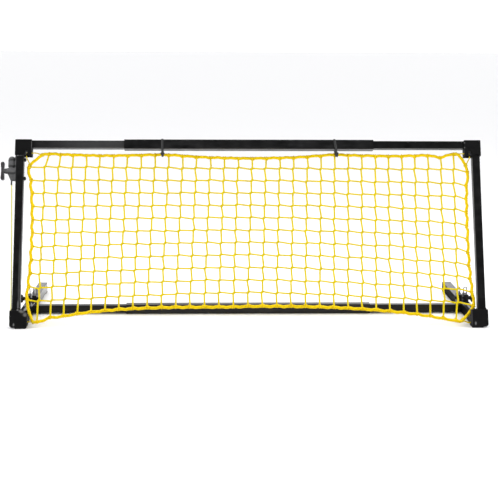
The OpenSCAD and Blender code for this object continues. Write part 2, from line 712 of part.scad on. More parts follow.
module winder_body() {
    translate([0, 0, (plate_high + plate_low) / 2]) along_x()
        linear_extrude(3) polygon(round_rect(tube - 0.4, plate_high - plate_low, 6));
    translate([barrel_x, 0, 0]) rotate_extrude() polygon(concat(
        [[0, 0], [barrel_r - 1.6, 0], [barrel_r - 1.6, waist_h - 0.6], [barrel_r, waist_h],
         [barrel_r, barrel_top - 10.5], [barrel_r - 0.7, barrel_top - 10],
         [barrel_r - 0.7, barrel_top - 9], [barrel_r, barrel_top - 8.5], [barrel_r, barrel_top - 0.5],
         [barrel_r - 0.7, barrel_top], [barrel_r - 0.7, barrel_top + 0.8]],
        arc([0, barrel_top + 0.8], barrel_r - 0.7, 0, 90, 9)));
    along_x() rotate_extrude() polygon([
        [0, 0], [hub_r, 0], [hub_r, hub_l - 5], [hub_r - 1, hub_l - 4], [hub_r - 1, hub_l - 2.5],
        [hub_r - 2.5, hub_l], [neck_r, hub_l], [neck_r, boss_l], [0, boss_l]]);
    intersection() {
        translate([0, -barrel_r, 0]) along_y() linear_extrude(2 * barrel_r) polygon(concat(
            [[0, 0], [0, plate_low]],
            arc([barrel_x + 1, plate_low + 2], 2, 270, 330, 3),
            [[hub_l - 3, -13], [hub_l - 2.5, 0]]));
        along_x() linear_extrude(boss_l) polygon([
            [-5, plate_low], [5, plate_low], [hub_r - 3.6, -8], [hub_r - 3.6, 0],
            [3.6 - hub_r, 0], [3.6 - hub_r, -8]]);
    }
}

module winder_housing() color([0.20, 0.20, 0.20]) at_winder() difference() {
    winder_body();
    translate([-1, 0, 0]) along_x() cylinder(r = spool_r + 0.6, h = spool_l + 3);
    along_x() cylinder(r = shaft_r + run_gap, h = boss_l + 1);
    translate([2.5, -3, spool_r - 4]) cube([5, 9, 13]);
    translate([barrel_x, 0, plate_low - 1]) cylinder(r = cord_bore_r, h = -plate_low - 4);
    translate([barrel_x, 0, plate_low - 1]) cylinder(r = ferrule_r + 0.1, h = ferrule_in + 1);
    for (z = [screw_low, screw_high])
        translate([-1, 0, z]) along_x() cylinder(r = winder_screw_r + screw_gap, h = 10.6);
}

// Wing knob with its shaft
module winder_wing_knob() color([0.16, 0.16, 0.16]) at_winder() {
    translate([1.5, 0, 0]) along_x() cylinder(r = shaft_r, h = wing_x);
    translate([boss_l + 0.4, 0, 0]) along_x() cylinder(r1 = 9, r2 = 7, h = wing_x - boss_l + 2);
    intersection() {
        translate([0, -wing_t / 2, 0]) along_y() linear_extrude(wing_t) translate([wing_x + wing_t / 2, 0])
            polygon(concat(
                arc([0, wing_l / 2 - 6], 6, 0, 180, 10),
                [[-wing_t / 2 + 1.5, 6], [-wing_t / 2, 0], [-wing_t / 2 + 1.5, -6]],
                arc([0, 6 - wing_l / 2], 6, 180, 360, 10),
                [[wing_t / 2 - 1.5, -6], [wing_t / 2 - 1.5, 6]]));
        translate([wing_x, 0, 0]) along_x() cylinder(r = wing_l / 2, h = wing_t);
    }
}

// Drum between two flanges, with the ratchet wheel on its inner end
module winder_spool() color([0.25, 0.25, 0.25]) at_winder() translate([1, 0, 0]) along_x() difference() {
    union() {
        linear_extrude(5) polygon([for (k = [0:ratchet_teeth - 1]) for (tip = [0, 1])
            (tip == 0 ? spool_r : spool_r - 1.6)
                * [cos(360 * (k + 0.12 * tip) / ratchet_teeth), sin(360 * (k + 0.12 * tip) / ratchet_teeth)]]);
        cylinder(r = spool_r - 3, h = spool_l);
        translate([0, 0, 6.5]) cylinder(r = spool_r, h = 1.2);
        translate([0, 0, spool_l - 1.5]) cylinder(r = spool_r, h = 1.5);
    }
    translate([0, 0, -1]) cylinder(r = shaft_r + 0.03, h = spool_l + 2);
}

// Sprung pawl that rides on the ratchet wheel
module winder_pawl() color("silver") at_winder() translate([3, 0, spool_r]) along_x() linear_extrude(3.6)
    polygon([[-2.6, 8.8], [1.5, 8.8], [1.5, 4], [3.6, 0.3], [2.6, 0.1], [-0.8, 4.5], [-2.6, 5]]);

module winder_screws() color("black") at_winder() for (z = [screw_low, screw_high]) {
    translate([-tube, 0, z]) along_x() cylinder(r = winder_screw_r, h = tube + 9);
    translate([-tube, 0, z]) rotate([0, -90, 0]) rotate_extrude() polygon(concat(
        [[0, 0], [winder_cap_r, 0]],
        arc([winder_cap_r - 4, 3.6], 4, 0, 72, 6),
        [[0, 8]]));
}

ferrule_r = 2.8;

module cord_ferrule() color("gray") at_winder()
    translate([barrel_x, 0, plate_low + ferrule_in - ferrule_l]) difference() {
        cylinder(r = ferrule_r, h = ferrule_l - 0.1);
        translate([0, 0, -1]) cylinder(r = cord_d / 2 + 0.25, h = ferrule_l + 2);
    }

// ---- Clamps on the legs, with loops for ground pegs ----

module at_clamp(side) on_side(side) translate([leg_x, clamp_y, leg_z]) children();

// Collar round the leg with two cheeks above it that the bolt draws together
module leg_clamp(side) at_clamp(side) difference() {
    translate([0, -clamp_l / 2, 0]) along_y() linear_extrude(clamp_l) difference() {
        polygon(concat(
            arc([clamp_out - 4, cheek_top - 4], 4, 0, 90),
            arc([4 - clamp_out, cheek_top - 4], 4, 90, 180),
            arc([1.2 - clamp_out, 1.2 - clamp_out + 0.1], 1.2, 180, 270, 3),
            arc([clamp_out - 1.2, 1.2 - clamp_out + 0.1], 1.2, 270, 360, 3)));
        square(2 * clamp_in, center = true);
        translate([-cheek_gap / 2, 0]) square([cheek_gap, cheek_top + 1]);
    }
    translate([-clamp_out - 1, clamp_bolt_y, clamp_bolt_z]) along_x()
        cylinder(r = bolt_r + run_gap, h = 2 * clamp_out + 2);
    for (wire = loop_wires) translate([wire, loop_y, cheek_top - loop_seat])
        cylinder(r = wire_d / 2 + 0.1, h = loop_seat + 1);
}

loop_x = (clamp_out + cheek_gap / 2) / 2;
loop_wires = [loop_x - loop_r, loop_x + loop_r, -loop_x - loop_r, -loop_x + loop_r];

// Two wire hairpins that stand in the cheeks
module peg_loops(side) at_clamp(side) {
    for (wire = loop_wires) translate([wire, loop_y, cheek_top - loop_seat + 0.1])
        cylinder(r = wire_d / 2, h = loop_seat + loop_h - loop_r - wire_d / 2 - 0.1);
    for (x = [-loop_x, loop_x]) translate([x, loop_y, cheek_top + loop_h - loop_r - wire_d / 2])
        rotate([90, 0, 0]) rotate_extrude(angle = 180) translate([loop_r, 0]) circle(r = wire_d / 2);
}

// Fluted thumb knob with the clamp's bolt
module clamp_knob(side) at_clamp(side) translate([0, clamp_bolt_y, clamp_bolt_z]) {
    translate([-clamp_out - nut_l + 3.5, 0, 0]) along_x() cylinder(r = bolt_r, h = 2 * clamp_out + nut_l);
    translate([clamp_out + 0.4, 0, 0]) along_x() cylinder(r1 = 5.5, r2 = 8, h = thumb_x - clamp_out);
    translate([thumb_x, 0, 0]) along_x() difference() {
        rotate_extrude() polygon([
            [0, 0], [thumb_r - 2, 0], [thumb_r, 2], [thumb_r, thumb_t - 3],
            [thumb_r - 3, thumb_t], [5, thumb_t], [4, thumb_t - 1.2], [0, thumb_t - 1.2]]);
        for (k = [0:9]) rotate(36 * k) translate([thumb_r + 1.2, 0, -1]) cylinder(r = 2.8, h = thumb_t + 2);
    }
}

// Captive dome nut on the cheek's inner side
module clamp_nut(side) at_clamp(side) translate([-clamp_out, clamp_bolt_y, clamp_bolt_z])
    mirror([1, 0, 0]) along_x() difference() {
        union() {
            cylinder(r = 6, h = 5, $fn = 6);
            translate([0, 0, 5]) rotate_extrude() intersection() {
                circle(r = 5);
                square(5);
            }
        }
        translate([0, 0, -1]) cylinder(r = bolt_r + run_gap, h = nut_l - 2);
    }

module leg_clamp_left() color([0.10, 0.10, 0.10]) leg_clamp(-1);

module leg_clamp_right() color([0.10, 0.10, 0.10]) leg_clamp(1);

module peg_loops_left() color([0.35, 0.35, 0.35]) peg_loops(-1);

module peg_loops_right() color([0.35, 0.35, 0.35]) peg_loops(1);

module clamp_knob_left() color([0.07, 0.07, 0.07]) clamp_knob(-1);

module clamp_knob_right() color([0.07, 0.07, 0.07]) clamp_knob(1);

module clamp_nut_left() color([0.15, 0.15, 0.15]) clamp_nut(-1);

module clamp_nut_right() color([0.15, 0.15, 0.15]) clamp_nut(1);

// ---- The pieces ----

placed() post_left();
placed() post_right();
placed() crossbar_tube_left();
placed() crossbar_tube_right();
placed() crossbar_sleeve();
placed() crossbar_bushes();
placed() corner_block_top_left();
placed() corner_block_top_right();
placed() corner_block_bottom_left();
placed() corner_block_bottom_right();
placed() leg_left();
placed() leg_right();
placed() leg_end_cap_left();
placed() leg_end_cap_right();
placed() rear_bar_tube_left();
placed() rear_bar_tube_right();
placed() rear_bar_sleeve();
placed() rear_bar_bushes();
placed() rear_bar_plugs();
placed() rear_bar_bolts();
placed() foot_pad_left();
placed() foot_pad_right();
placed() corner_screws();
placed() net_mesh();
placed() net_hem_rope();
placed() lacing_cord_top_left();
placed() lacing_cord_top_right();
placed() lacing_cord_bottom_right();
placed() tension_cord();
placed() cable_tie_left();
placed() cable_tie_right();
placed() winder_housing();
placed() winder_wing_knob();
placed() winder_spool();
placed() winder_pawl();
placed() winder_screws();
placed() cord_ferrule();
placed() leg_clamp_left();
placed() leg_clamp_right();
placed() peg_loops_left();
placed() peg_loops_right();
placed() clamp_knob_left();
placed() clamp_knob_right();
placed() clamp_nut_left();
placed() clamp_nut_right();
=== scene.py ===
"""Looks of a low practice goal: a leaning frame of square tube with a corded net laced inside.

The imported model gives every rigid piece. This file adds the materials and makes the soft pieces:
the net with its hem rope, the lacing and tension cords, and the cable ties.
"""

import math
from collections import namedtuple

import bpy
import numpy as np
from bpy.props import FloatProperty, FloatVectorProperty, IntProperty, PointerProperty
from mathutils import Matrix, Vector


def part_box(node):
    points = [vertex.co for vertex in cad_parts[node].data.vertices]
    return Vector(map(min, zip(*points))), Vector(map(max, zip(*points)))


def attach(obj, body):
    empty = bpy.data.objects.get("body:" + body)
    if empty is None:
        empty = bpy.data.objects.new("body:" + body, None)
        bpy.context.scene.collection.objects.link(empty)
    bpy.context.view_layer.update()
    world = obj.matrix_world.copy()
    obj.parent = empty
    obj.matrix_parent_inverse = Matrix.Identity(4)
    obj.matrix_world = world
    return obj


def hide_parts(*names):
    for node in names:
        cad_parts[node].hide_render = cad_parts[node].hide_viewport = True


bl_info = {
    "name": "Practice Goal Looks",
    "version": (1, 0, 0),
    "blender": (4, 5, 0),
    "location": "View3D > Sidebar > Goal",
    "description": "Net, cords, ties and finishes of a low practice goal",
    "category": "Object",
}

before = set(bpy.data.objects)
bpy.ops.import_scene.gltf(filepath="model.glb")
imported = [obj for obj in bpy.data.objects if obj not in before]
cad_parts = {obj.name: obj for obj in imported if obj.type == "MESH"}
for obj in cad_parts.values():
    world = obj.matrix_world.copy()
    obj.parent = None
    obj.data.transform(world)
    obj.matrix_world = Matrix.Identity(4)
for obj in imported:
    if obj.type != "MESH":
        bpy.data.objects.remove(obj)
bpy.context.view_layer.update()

# Middle of the goal and the floor line of the leaning plane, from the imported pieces
POST_L, POST_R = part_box("post_left"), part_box("post_right")
MID_X = (POST_L[0].x + POST_R[1].x) / 2
FLOOR_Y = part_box("leg_end_cap_left")[1].y - 0.537
LEAN = math.radians(20.5)
TUBE = POST_R[1].x - POST_R[0].x
MID_N = TUBE / 2
SLEEVE = 0.0318
BAR_T = 0.62 - TUBE / 2


# ---- Places ----


def on_frame(x, t, n=MID_N):
    """Row place of a point of the leaning frame: x across, t up the lean, n behind its front face."""
    x, t, n = np.broadcast_arrays(np.asarray(x, float), np.asarray(t, float), np.asarray(n, float))
    back = t * math.sin(LEAN) + n * math.cos(LEAN)
    return np.stack([x + MID_X, back + FLOOR_Y, t * math.cos(LEAN) - n * math.sin(LEAN)], -1)


def smooth_route(points, spacing, fine=24):
    """Points at an even spacing on a curve through the given ones.

    Between two points a Catmull-Rom cubic is used, in fine steps: its slope at a point is half
    the step from the point before to the point after.
    """
    p = np.asarray(points, float)
    q = np.vstack([2 * p[0] - p[1], p, 2 * p[-1] - p[-2]])
    s = np.linspace(0, 1, fine, endpoint=False)[:, None]
    parts = [
        0.5 * (2 * b + (c - a) * s + (2 * a - 5 * b + 4 * c - d) * s**2 + (3 * b - a - 3 * c + d) * s**3)
        for a, b, c, d in zip(q[:-3], q[1:-2], q[2:-1], q[3:])
    ]
    line = np.vstack(parts + [p[-1:]])
    at = way_along(line)
    want = np.linspace(0, at[-1], max(round(at[-1] / spacing), 2) + 1)
    return np.stack([np.interp(want, at, line[:, k]) for k in range(3)], 1)


def frames_along(p, closed=False, up=(0.0, -0.9, 0.4)):
    """Side and normal at each point.

    The tangent is the step between neighbours. The side is the tangent crossed with one fixed
    direction, so a tube does not twist, and the normal is the tangent crossed with the side.
    """
    if closed:
        step = np.roll(p, -1, 0) - np.roll(p, 1, 0)
    else:
        step = np.gradient(p, axis=0)
    t = step / np.linalg.norm(step, axis=1, keepdims=True)
    side = np.cross(t, np.asarray(up, float))
    weak = np.linalg.norm(side, axis=1) < 0.15
    side[weak] = np.cross(t[weak], [1.0, 0.0, 0.0])
    side /= np.linalg.norm(side, axis=1, keepdims=True)
    return side, np.cross(t, side)


def way_along(p):
    """Length of the line from its start to each of its points."""
    return np.concatenate([[0], np.cumsum(np.linalg.norm(np.diff(p, axis=0), axis=1))])


def ring_faces(rings, sides, closed=False):
    """Faces of a grid of rings: quads between neighbours, and a cap on each end of an open one."""
    count = rings if closed else rings - 1
    i, k = np.divmod(np.arange(count * sides), sides)
    i2, k2 = (i + 1) % rings, (k + 1) % sides
    quads = np.stack([i * sides + k, i * sides + k2, i2 * sides + k2, i2 * sides + k], 1)
    if closed:
        return [quads]
    cap = np.arange(sides)[None]
    return [quads, cap[:, ::-1], cap + (rings - 1) * sides]


def tube_mesh(p, radius, sides=8, closed=False, lobes=0, lay=0.03):
    """Grid of a tube: at each point of the line, a ring of sides points at that radius.

    A twisted cord has lobes: its radius grows and shrinks as the cosine of lobes times the ring
    angle plus a full turn every lay metres. Returns points, faces and one u, v pair per corner,
    with u round the tube in turns and v along it in metres.
    """
    side, up = frames_along(p, closed)
    n = len(p)
    along = way_along(p)
    r = np.broadcast_to(np.asarray(radius, float), (n,))[:, None]
    a = 2 * np.pi * np.arange(sides) / sides
    if lobes:
        r = r * (0.93 + 0.09 * np.cos(lobes * a + 2 * np.pi * along[:, None] / lay))
    ring = np.cos(a)[:, None] * side[:, None] + np.sin(a)[:, None] * up[:, None]
    verts = (p[:, None] + ring * r[..., None]).reshape(-1, 3)
    faces = ring_faces(n, sides, closed)
    i, k = np.divmod(np.arange(len(faces[0])), sides)
    after = np.append(along[1:], along[-1] + np.linalg.norm(p[0] - p[-1]))
    u0, u1, v0, v1 = k / sides, (k + 1) / sides, along[i], after[i]
    uv = np.stack([u0, v0, u1, v0, u1, v1, u0, v1], 1).reshape(-1, 2)
    if not closed:
        ends = np.stack([0.5 + 0.4 * np.cos(a), 0.001 * np.sin(a)], 1)
        uv = np.vstack([uv, ends[::-1], ends + [0, along[-1]]])
    return verts, faces, uv


def block_mesh(size, centre, turn, corner=0.4, rings=11, around=20):
    """Closed pillow-edged block.

    Its outline is a superellipse, |x|^q + |y|^q = 1 with q = 2 / corner. Up the block, height and
    width run as the sine and cosine of the ring's angle, each to the power corner, which rounds
    the edges; the two end rings keep a flat face.
    """
    a = 2 * np.pi * (np.arange(around) + 0.5) / around
    b = np.linspace(-np.pi / 2, np.pi / 2, rings)

    def rounded(wave):
        return np.sign(wave) * np.abs(wave) ** corner

    wide = rounded(np.cos(b))[:, None]
    wide[[0, -1]] = 0.55
    high = np.broadcast_to(rounded(np.sin(b))[:, None], (rings, around))
    grid = np.stack([wide * rounded(np.cos(a)), wide * rounded(np.sin(a)), high], -1)
    local = grid.reshape(-1, 3) * np.asarray(size) / 2
    faces = ring_faces(rings, around)
    verts = local @ np.asarray(turn).T + centre
    return verts, faces, np.zeros((sum(f.size for f in faces), 2))


def join(parts):
    """One mesh from several: the points are stacked, and each part's faces count on from them."""
    verts, faces, uvs, start = [], [], [], 0
    for v, f, uv in parts:
        verts.append(v)
        faces += [g + start for g in f]
        uvs.append(uv)
        start += len(v)
    return np.vstack(verts), faces, np.vstack(uvs)


def in_scene(name, data):
    """Adds an object with its data to the scene, in place of an old one of that name."""
    old = bpy.data.objects.get(name)
    if old:
        bpy.data.objects.remove(old)
    made = bpy.data.objects.new(name, data)
    bpy.context.scene.collection.objects.link(made)
    return made


def new_piece(name, mesh_data, finish, replaces=()):
    """Puts a computed mesh with a finish in the scene, as a piece that rides on the frame."""
    verts, faces, uv = mesh_data
    mesh = bpy.data.meshes.new(name)
    mesh.from_pydata(verts, [], [face for group in faces for face in group.tolist()], shade_flat=False)
    layer = mesh.uv_layers.new(name="UVMap")
    layer.data.foreach_set("uv", np.asarray(uv, np.float32).ravel())
    mesh.validate()
    mesh.materials.append(finish_named(finish))
    piece = in_scene(name, mesh)
    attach(piece, "frame")
    if replaces:
        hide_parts(*replaces)
    return piece


# ---- Shader groups ----


def set_up(tree, n, **values):
    """Sets a node's properties, and its inputs by a plain value or by a link from a socket."""
    for key, value in values.items():
        if hasattr(n, key):
            setattr(n, key, value)
        else:
            feed(tree, n.inputs[key.replace("_", " ")], value)
    return n


def feed(tree, target, value):
    """Links a socket to an input, or sets the input where the value is a plain one."""
    if isinstance(value, bpy.types.NodeSocket):
        tree.links.new(value, target)
    else:
        target.default_value = value


def node(tree, kind, **values):
    """Adds a shader node of a kind, with its values."""
    return set_up(tree, tree.nodes.new("ShaderNode" + kind), **values)


def maths(tree, kind, *values, clamp=False):
    """Result of a maths node, with each operand a number or a socket."""
    n = node(tree, "Math", operation=kind, use_clamp=clamp)
    for target, value in zip(n.inputs, values):
        feed(tree, target, value)
    return n.outputs[0]


def times(tree, a, b):
    """Product of two values."""
    return maths(tree, "MULTIPLY", a, b)


def less(tree, a, b, clamp=False):
    """The first value less the second."""
    return maths(tree, "SUBTRACT", a, b, clamp=clamp)


def vector_maths(tree, kind, *values):
    """Vector maths node, with each operand a vector or a socket."""
    n = node(tree, "VectorMath", operation=kind)
    for target, value in zip(n.inputs, values):
        feed(tree, target, value)
    return n


def apart(tree, value, middle):
    """Size of the difference of two values."""
    return maths(tree, "ABSOLUTE", less(tree, value, middle))


def spread(tree, value, low, high, to_low=0.0, to_high=1.0, kind="LINEAR"):
    """A value stretched from one range to another and held within it."""
    n = node(tree, "MapRange", interpolation_type=kind, Value=value, From_Min=low, From_Max=high)
    return set_up(tree, n, To_Min=to_low, To_Max=to_high).outputs["Result"]


def soft_step(tree, value, low, high):
    """Nought below low, one above high and a smooth step between them."""
    return spread(tree, value, low, high, kind="SMOOTHSTEP")


def build_grain(g, given, out):
    """Fine grain: noise at one size for the bump, and slow blotches many times larger.

    Both are stretched to fill nought to one.
    """
    where = node(g, "TexCoord").outputs["Object"]
    for size, mask, detail in (("Grain per metre", "Grain", 3.0), ("Blotch per metre", "Blotch", 5.0)):
        noise = node(g, "TexNoise", Vector=where, Scale=given[size], Detail=detail, Roughness=0.6)
        feed(g, out[mask], spread(g, noise.outputs["Fac"], 0.3, 0.7))


def build_rubs(g, given, out):
    """Light rub marks: thin noise streaks that run across the goal, where it has been brushed."""
    where = node(g, "TexCoord").outputs["Object"]
    turned = node(g, "Mapping", Vector=where, Scale=(1.0, 7.0, 7.0), Rotation=(0.0, 0.12, 0.08))
    noise = node(g, "TexNoise", Vector=turned.outputs["Vector"], Scale=given["Length"])
    set_up(g, noise, Detail=6.0, Roughness=0.72)
    streaks = spread(g, noise.outputs["Fac"], 0.5, 0.72)
    feed(g, out["Marks"], times(g, streaks, given["Amount"]))


def build_lay(g, given, out):
    """Strands of a laid cord: a sine of strands turns round it plus a full turn each lay along it.

    Height is that sine lifted to nought to one and rounded; Gap is near one in the grooves
    between strands, where the cords paint shade; Fuzz is fine noise.
    """
    uv = node(g, "UVMap", uv_map="UVMap").outputs["UV"]
    round_it, along_it = node(g, "SeparateXYZ", Vector=uv).outputs[:2]
    round_it = times(g, round_it, given["Strands"])
    turns = maths(g, "ADD", round_it, times(g, along_it, given["Lay per metre"]))
    wave = maths(g, "SINE", times(g, turns, 2 * math.pi))
    lifted = maths(g, "MULTIPLY_ADD", wave, 0.5, 0.5)
    feed(g, out["Height"], maths(g, "POWER", lifted, 0.5))
    feed(g, out["Gap"], maths(g, "POWER", less(g, 1.0, lifted), 4.0))
    where = node(g, "TexCoord").outputs["Object"]
    fuzz = node(g, "TexNoise", Vector=where, Scale=given["Fuzz per metre"], Detail=2.0, Roughness=0.7)
    feed(g, out["Fuzz"], fuzz.outputs["Fac"])


# Shared effects: what builds each, its inputs with their values, and its outputs
EFFECTS = {
    "Fine grain": (build_grain, {"Grain per metre": 900.0, "Blotch per metre": 40.0}, ("Grain", "Blotch")),
    "Rub marks": (build_rubs, {"Length": 12.0, "Amount": 0.5}, ("Marks",)),
    "Cord lay": (
        build_lay,
        {"Strands": 3.0, "Lay per metre": 90.0, "Fuzz per metre": 2500.0},
        ("Height", "Gap", "Fuzz"),
    ),
}


def effect_group(name):
    """The shader group of that effect, built the first time it is asked for."""
    group = bpy.data.node_groups.get(name)
    if group:
        return group
    build, inputs, outputs = EFFECTS[name]
    group = bpy.data.node_groups.new(name, "ShaderNodeTree")
    for label, value in inputs.items():
        entry = group.interface.new_socket(name=label, in_out="INPUT", socket_type="NodeSocketFloat")
        entry.default_value = value
    for label in outputs:
        group.interface.new_socket(name=label, in_out="OUTPUT", socket_type="NodeSocketFloat")
    given, out = group.nodes.new("NodeGroupInput"), group.nodes.new("NodeGroupOutput")
    build(group, given.outputs, out.inputs)
    return group


def effect(tree, name, **values):
    """Places an effect's group in a tree with its own values. Returns its outputs."""
    return node(tree, "Group", node_tree=effect_group(name), **values).outputs


# ---- Materials ----


def material_start(name):
    """A material with only its Principled shader and output, and the tree to add to."""
    m = bpy.data.materials.new(name)
    m.use_nodes = True
    tree = m.node_tree
    tree.nodes.clear()
    skin = node(tree, "BsdfPrincipled")
    node(tree, "OutputMaterial", Surface=skin.outputs["BSDF"])
    return m, tree, skin


def blend_colours(tree, factor, low, high):
    """A colour between two, by a factor from nought to one."""
    n = node(tree, "Mix", data_type="RGBA")
    for k, value in ((0, factor), (6, (*low, 1.0)), (7, (*high, 1.0))):
        feed(tree, n.inputs[k], value)
    return n.outputs[2]


def bump(tree, height, distance):
    """Normal of a surface raised by a height, with one as the given distance."""
    return node(tree, "Bump", Strength=1.0, Distance=distance, Height=height).outputs["Normal"]


# A coat or plastic: its dark and pale tone, its roughness, its grain and blotches per metre, its rub
# marks, its gloss, the grain's depth and how dense the rub marks are
Coat = namedtuple("Coat", "dark pale rough grain blotch marks level depth length", defaults=(0.00005, 12.0))


def grey(level, blue=0.0):
    """A grey with a little more blue."""
    return (level, level, level + blue)


def coat_colour(tree, skin, coat):
    """Sets up a coat, all but its colour: fine grain in its surface and slow blotches in its gloss.

    Returns the colour, which blotches and light rub marks turn from dark to pale.
    """
    grains = effect(tree, "Fine grain", Grain_per_metre=coat.grain, Blotch_per_metre=coat.blotch)
    rubs = effect(tree, "Rub marks", Length=coat.length, Amount=coat.marks)
    tone = maths(tree, "ADD", times(tree, grains["Blotch"], 0.55), rubs["Marks"], clamp=True)
    set_up(
        tree, skin,
        Roughness=spread(tree, grains["Blotch"], 0.0, 1.0, coat.rough - 0.06, coat.rough + 0.08),
        Specular_IOR_Level=coat.level,
        Normal=bump(tree, grains["Grain"], coat.depth),
    )
    return blend_colours(tree, tone, coat.dark, coat.pale)


def coated(tree, skin, coat):
    """Plain coat or plastic."""
    set_up(tree, skin, Base_Color=coat_colour(tree, skin, coat))


def corded(tree, skin, shade, light, strands, lay, depth):
    """Laid cord: pale on the strands' crowns, with painted shade in the grooves between them, and fibre fuzz.
    """
    lays = effect(tree, "Cord lay", Strands=strands, Lay_per_metre=lay)
    bright = maths(tree, "MULTIPLY_ADD", lays["Fuzz"], 0.5, 0.45)
    # Painted shade: the colour darkens in the grooves between the strands
    tone = less(tree, bright, times(tree, lays["Gap"], 0.8), clamp=True)
    height = maths(tree, "ADD", lays["Height"], times(tree, lays["Fuzz"], 0.25))
    set_up(
        tree, skin,
        Base_Color=blend_colours(tree, tone, shade, light),
        Roughness=spread(tree, lays["Fuzz"], 0.0, 1.0, 0.7, 0.9),
        Sheen_Weight=0.06,
        Sheen_Roughness=0.5,
        Specular_IOR_Level=0.08,
        Normal=bump(tree, height, depth),
    )


def spring_steel(tree, skin):
    """Bare steel: metallic, with faint drawn marks and dull blotches."""
    grains = effect(tree, "Fine grain", Grain_per_metre=700.0, Blotch_per_metre=120.0)
    set_up(
        tree, skin,
        Base_Color=blend_colours(tree, grains["Blotch"], grey(0.05, 0.002), grey(0.14, 0.005)),
        Roughness=spread(tree, grains["Blotch"], 0.0, 1.0, 0.24, 0.42),
        Metallic=0.9,
        Normal=bump(tree, grains["Grain"], 0.00003),
    )


# Painted highlights and glints on the corner blocks' facets and edges: place across, behind the front face
# and up the lean, their reach each way, and strength
BLOCK_HIGHLIGHTS = (
    ((-0.719, -0.003, 0.05), (0.006, 0.01, 0.008), 1.0),
    ((-0.727, -0.003, 0.057), (0.009, 0.01, 0.005), 0.9),
    ((-0.7425, -0.003, 0.0606), (0.003, 0.006, 0.002), 1.0),
    ((-0.754, -0.003, 0.013), (0.0022, 0.006, 0.0042), 0.8),
    ((0.7265, -0.003, 0.014), (0.0022, 0.006, 0.0046), 1.0),
    ((0.715, -0.003, 0.038), (0.0012, 0.006, 0.026), 0.4),
    ((0.7065, -0.003, 0.613), (0.006, 0.03, 0.0022), 1.0),
    ((0.706, -0.003, 0.597), (0.006, 0.03, 0.0022), 1.0),
    ((-0.7115, -0.003, 0.605), (0.0011, 0.006, 0.015), 0.5),
    ((-0.756, -0.003, 0.569), (0.0026, 0.008, 0.0018), 1.0),
    ((-0.746, -0.003, 0.569), (0.008, 0.008, 0.001), 0.4),
)
# Painted highlights on the left post: a pale streak of painted reflection low down on its face, stronger at
# its foot, and a painted rim highlight at its top
POST_HIGHLIGHTS = (
    ((-0.741, 0.0, 0.17), (0.0022, 0.006, 0.1), 0.28),
    ((-0.742, 0.0, 0.076), (0.0024, 0.006, 0.014), 0.65),
    ((-0.756, 0.0, 0.5685), (0.0022, 0.006, 0.0018), 1.0),
    ((-0.747, 0.0, 0.5685), (0.007, 0.006, 0.001), 0.4),
)
# Paler stretch of the crossbar's left tube, toward the sleeve
PALE_STRETCH = (((-0.42, 0.0, BAR_T), (0.19, 0.022, 0.024), 0.21),)
# Undersides of the upper blocks' lugs, which stay dull
DULL = (
    ((-0.722, 0.012, 0.567), (0.014, 0.03, 0.0022), 1.0),
    ((0.722, 0.012, 0.567), (0.014, 0.03, 0.0022), 1.0),
)
# What a pale spot adds to the colour at its strongest: on the posts and blocks it is a painted highlight
PALE_SPOT_TONE = grey(0.17, 0.002)
# Shadow lines at the winder's ring, waist and lower rim: height up the lean, half width, strength
GROOVES = ((0.555, 0.003, 0.6), (0.5335, 0.003, 0.65), (0.51, 0.003, 0.55))


def spot_mask(tree, spots):
    """Strongest of several soft spots.

    Each is 1.6 less the distance to its centre, measured in its own reach, held within nought
    and one and multiplied by its strength.
    """
    where = node(tree, "TexCoord").outputs["Object"]
    total = None
    for (x, n, t), reach, strength in spots:
        centre = tuple(on_frame(x, t, n))
        place = node(tree, "Mapping", vector_type="TEXTURE", Vector=where, Location=centre, Scale=reach)
        place.inputs["Rotation"].default_value = (-LEAN, 0.0, 0.0)
        far = vector_maths(tree, "LENGTH", place.outputs["Vector"]).outputs["Value"]
        near = times(tree, less(tree, 1.6, far, clamp=True), strength)
        total = near if total is None else maths(tree, "MAXIMUM", total, near)
    return total


def with_pale_spots(tree, skin, coat, spots, dull=()):
    """A coat with paler spots, painted highlights on the post and blocks and a paler stretch on the crossbar:
    the spots' mask adds to the colour.

    With dull spots the gloss is the shader's own coat, weaker by their mask.
    """
    colour = coat_colour(tree, skin, coat)
    # Painted highlights on the post and blocks, and the crossbar's paler stretch, lift the colour at the
    # spots
    lift = blend_colours(tree, spot_mask(tree, spots), (0.0, 0.0, 0.0), PALE_SPOT_TONE)
    set_up(tree, skin, Base_Color=vector_maths(tree, "ADD", colour, lift).outputs["Vector"])
    if dull:
        keep = less(tree, 1.0, spot_mask(tree, dull), clamp=True)
        gloss = times(tree, keep, 2 * coat.level)
        set_up(tree, skin, Specular_IOR_Level=0.0, Coat_Roughness=coat.rough, Coat_Weight=gloss)


def grooved(tree, skin, coat):
    """Plastic of the winder with painted shadow lines in its grooves: bands at fixed heights up the lean."""
    colour = coat_colour(tree, skin, coat)
    where = node(tree, "TexCoord").outputs["Object"]
    up_lean = vector_maths(tree, "DOT_PRODUCT", where, (0.0, math.sin(LEAN), math.cos(LEAN)))
    height = less(tree, up_lean.outputs["Value"], FLOOR_Y * math.sin(LEAN))
    keep = 1.0
    # Painted shade: each band darkens the colour where a groove's shadow falls
    for at, half, strength in GROOVES:
        off = maths(tree, "DIVIDE", apart(tree, height, at), half)
        dip = times(tree, less(tree, 1.7, off, clamp=True), strength)
        keep = times(tree, less(tree, 1.0, dip), keep)
    scaled = node(tree, "VectorMath", operation="SCALE", Vector=colour, Scale=keep)
    set_up(tree, skin, Base_Color=scaled.outputs["Vector"])


# How far behind the floor line the legs' matte dark stretch ends, a painted dark reflection of the clamps,
# and half the glossy stripe that it leaves
DARK_STRETCH_END = (0.155, 0.175)
STRIPE_HALF = (0.002, 0.006)


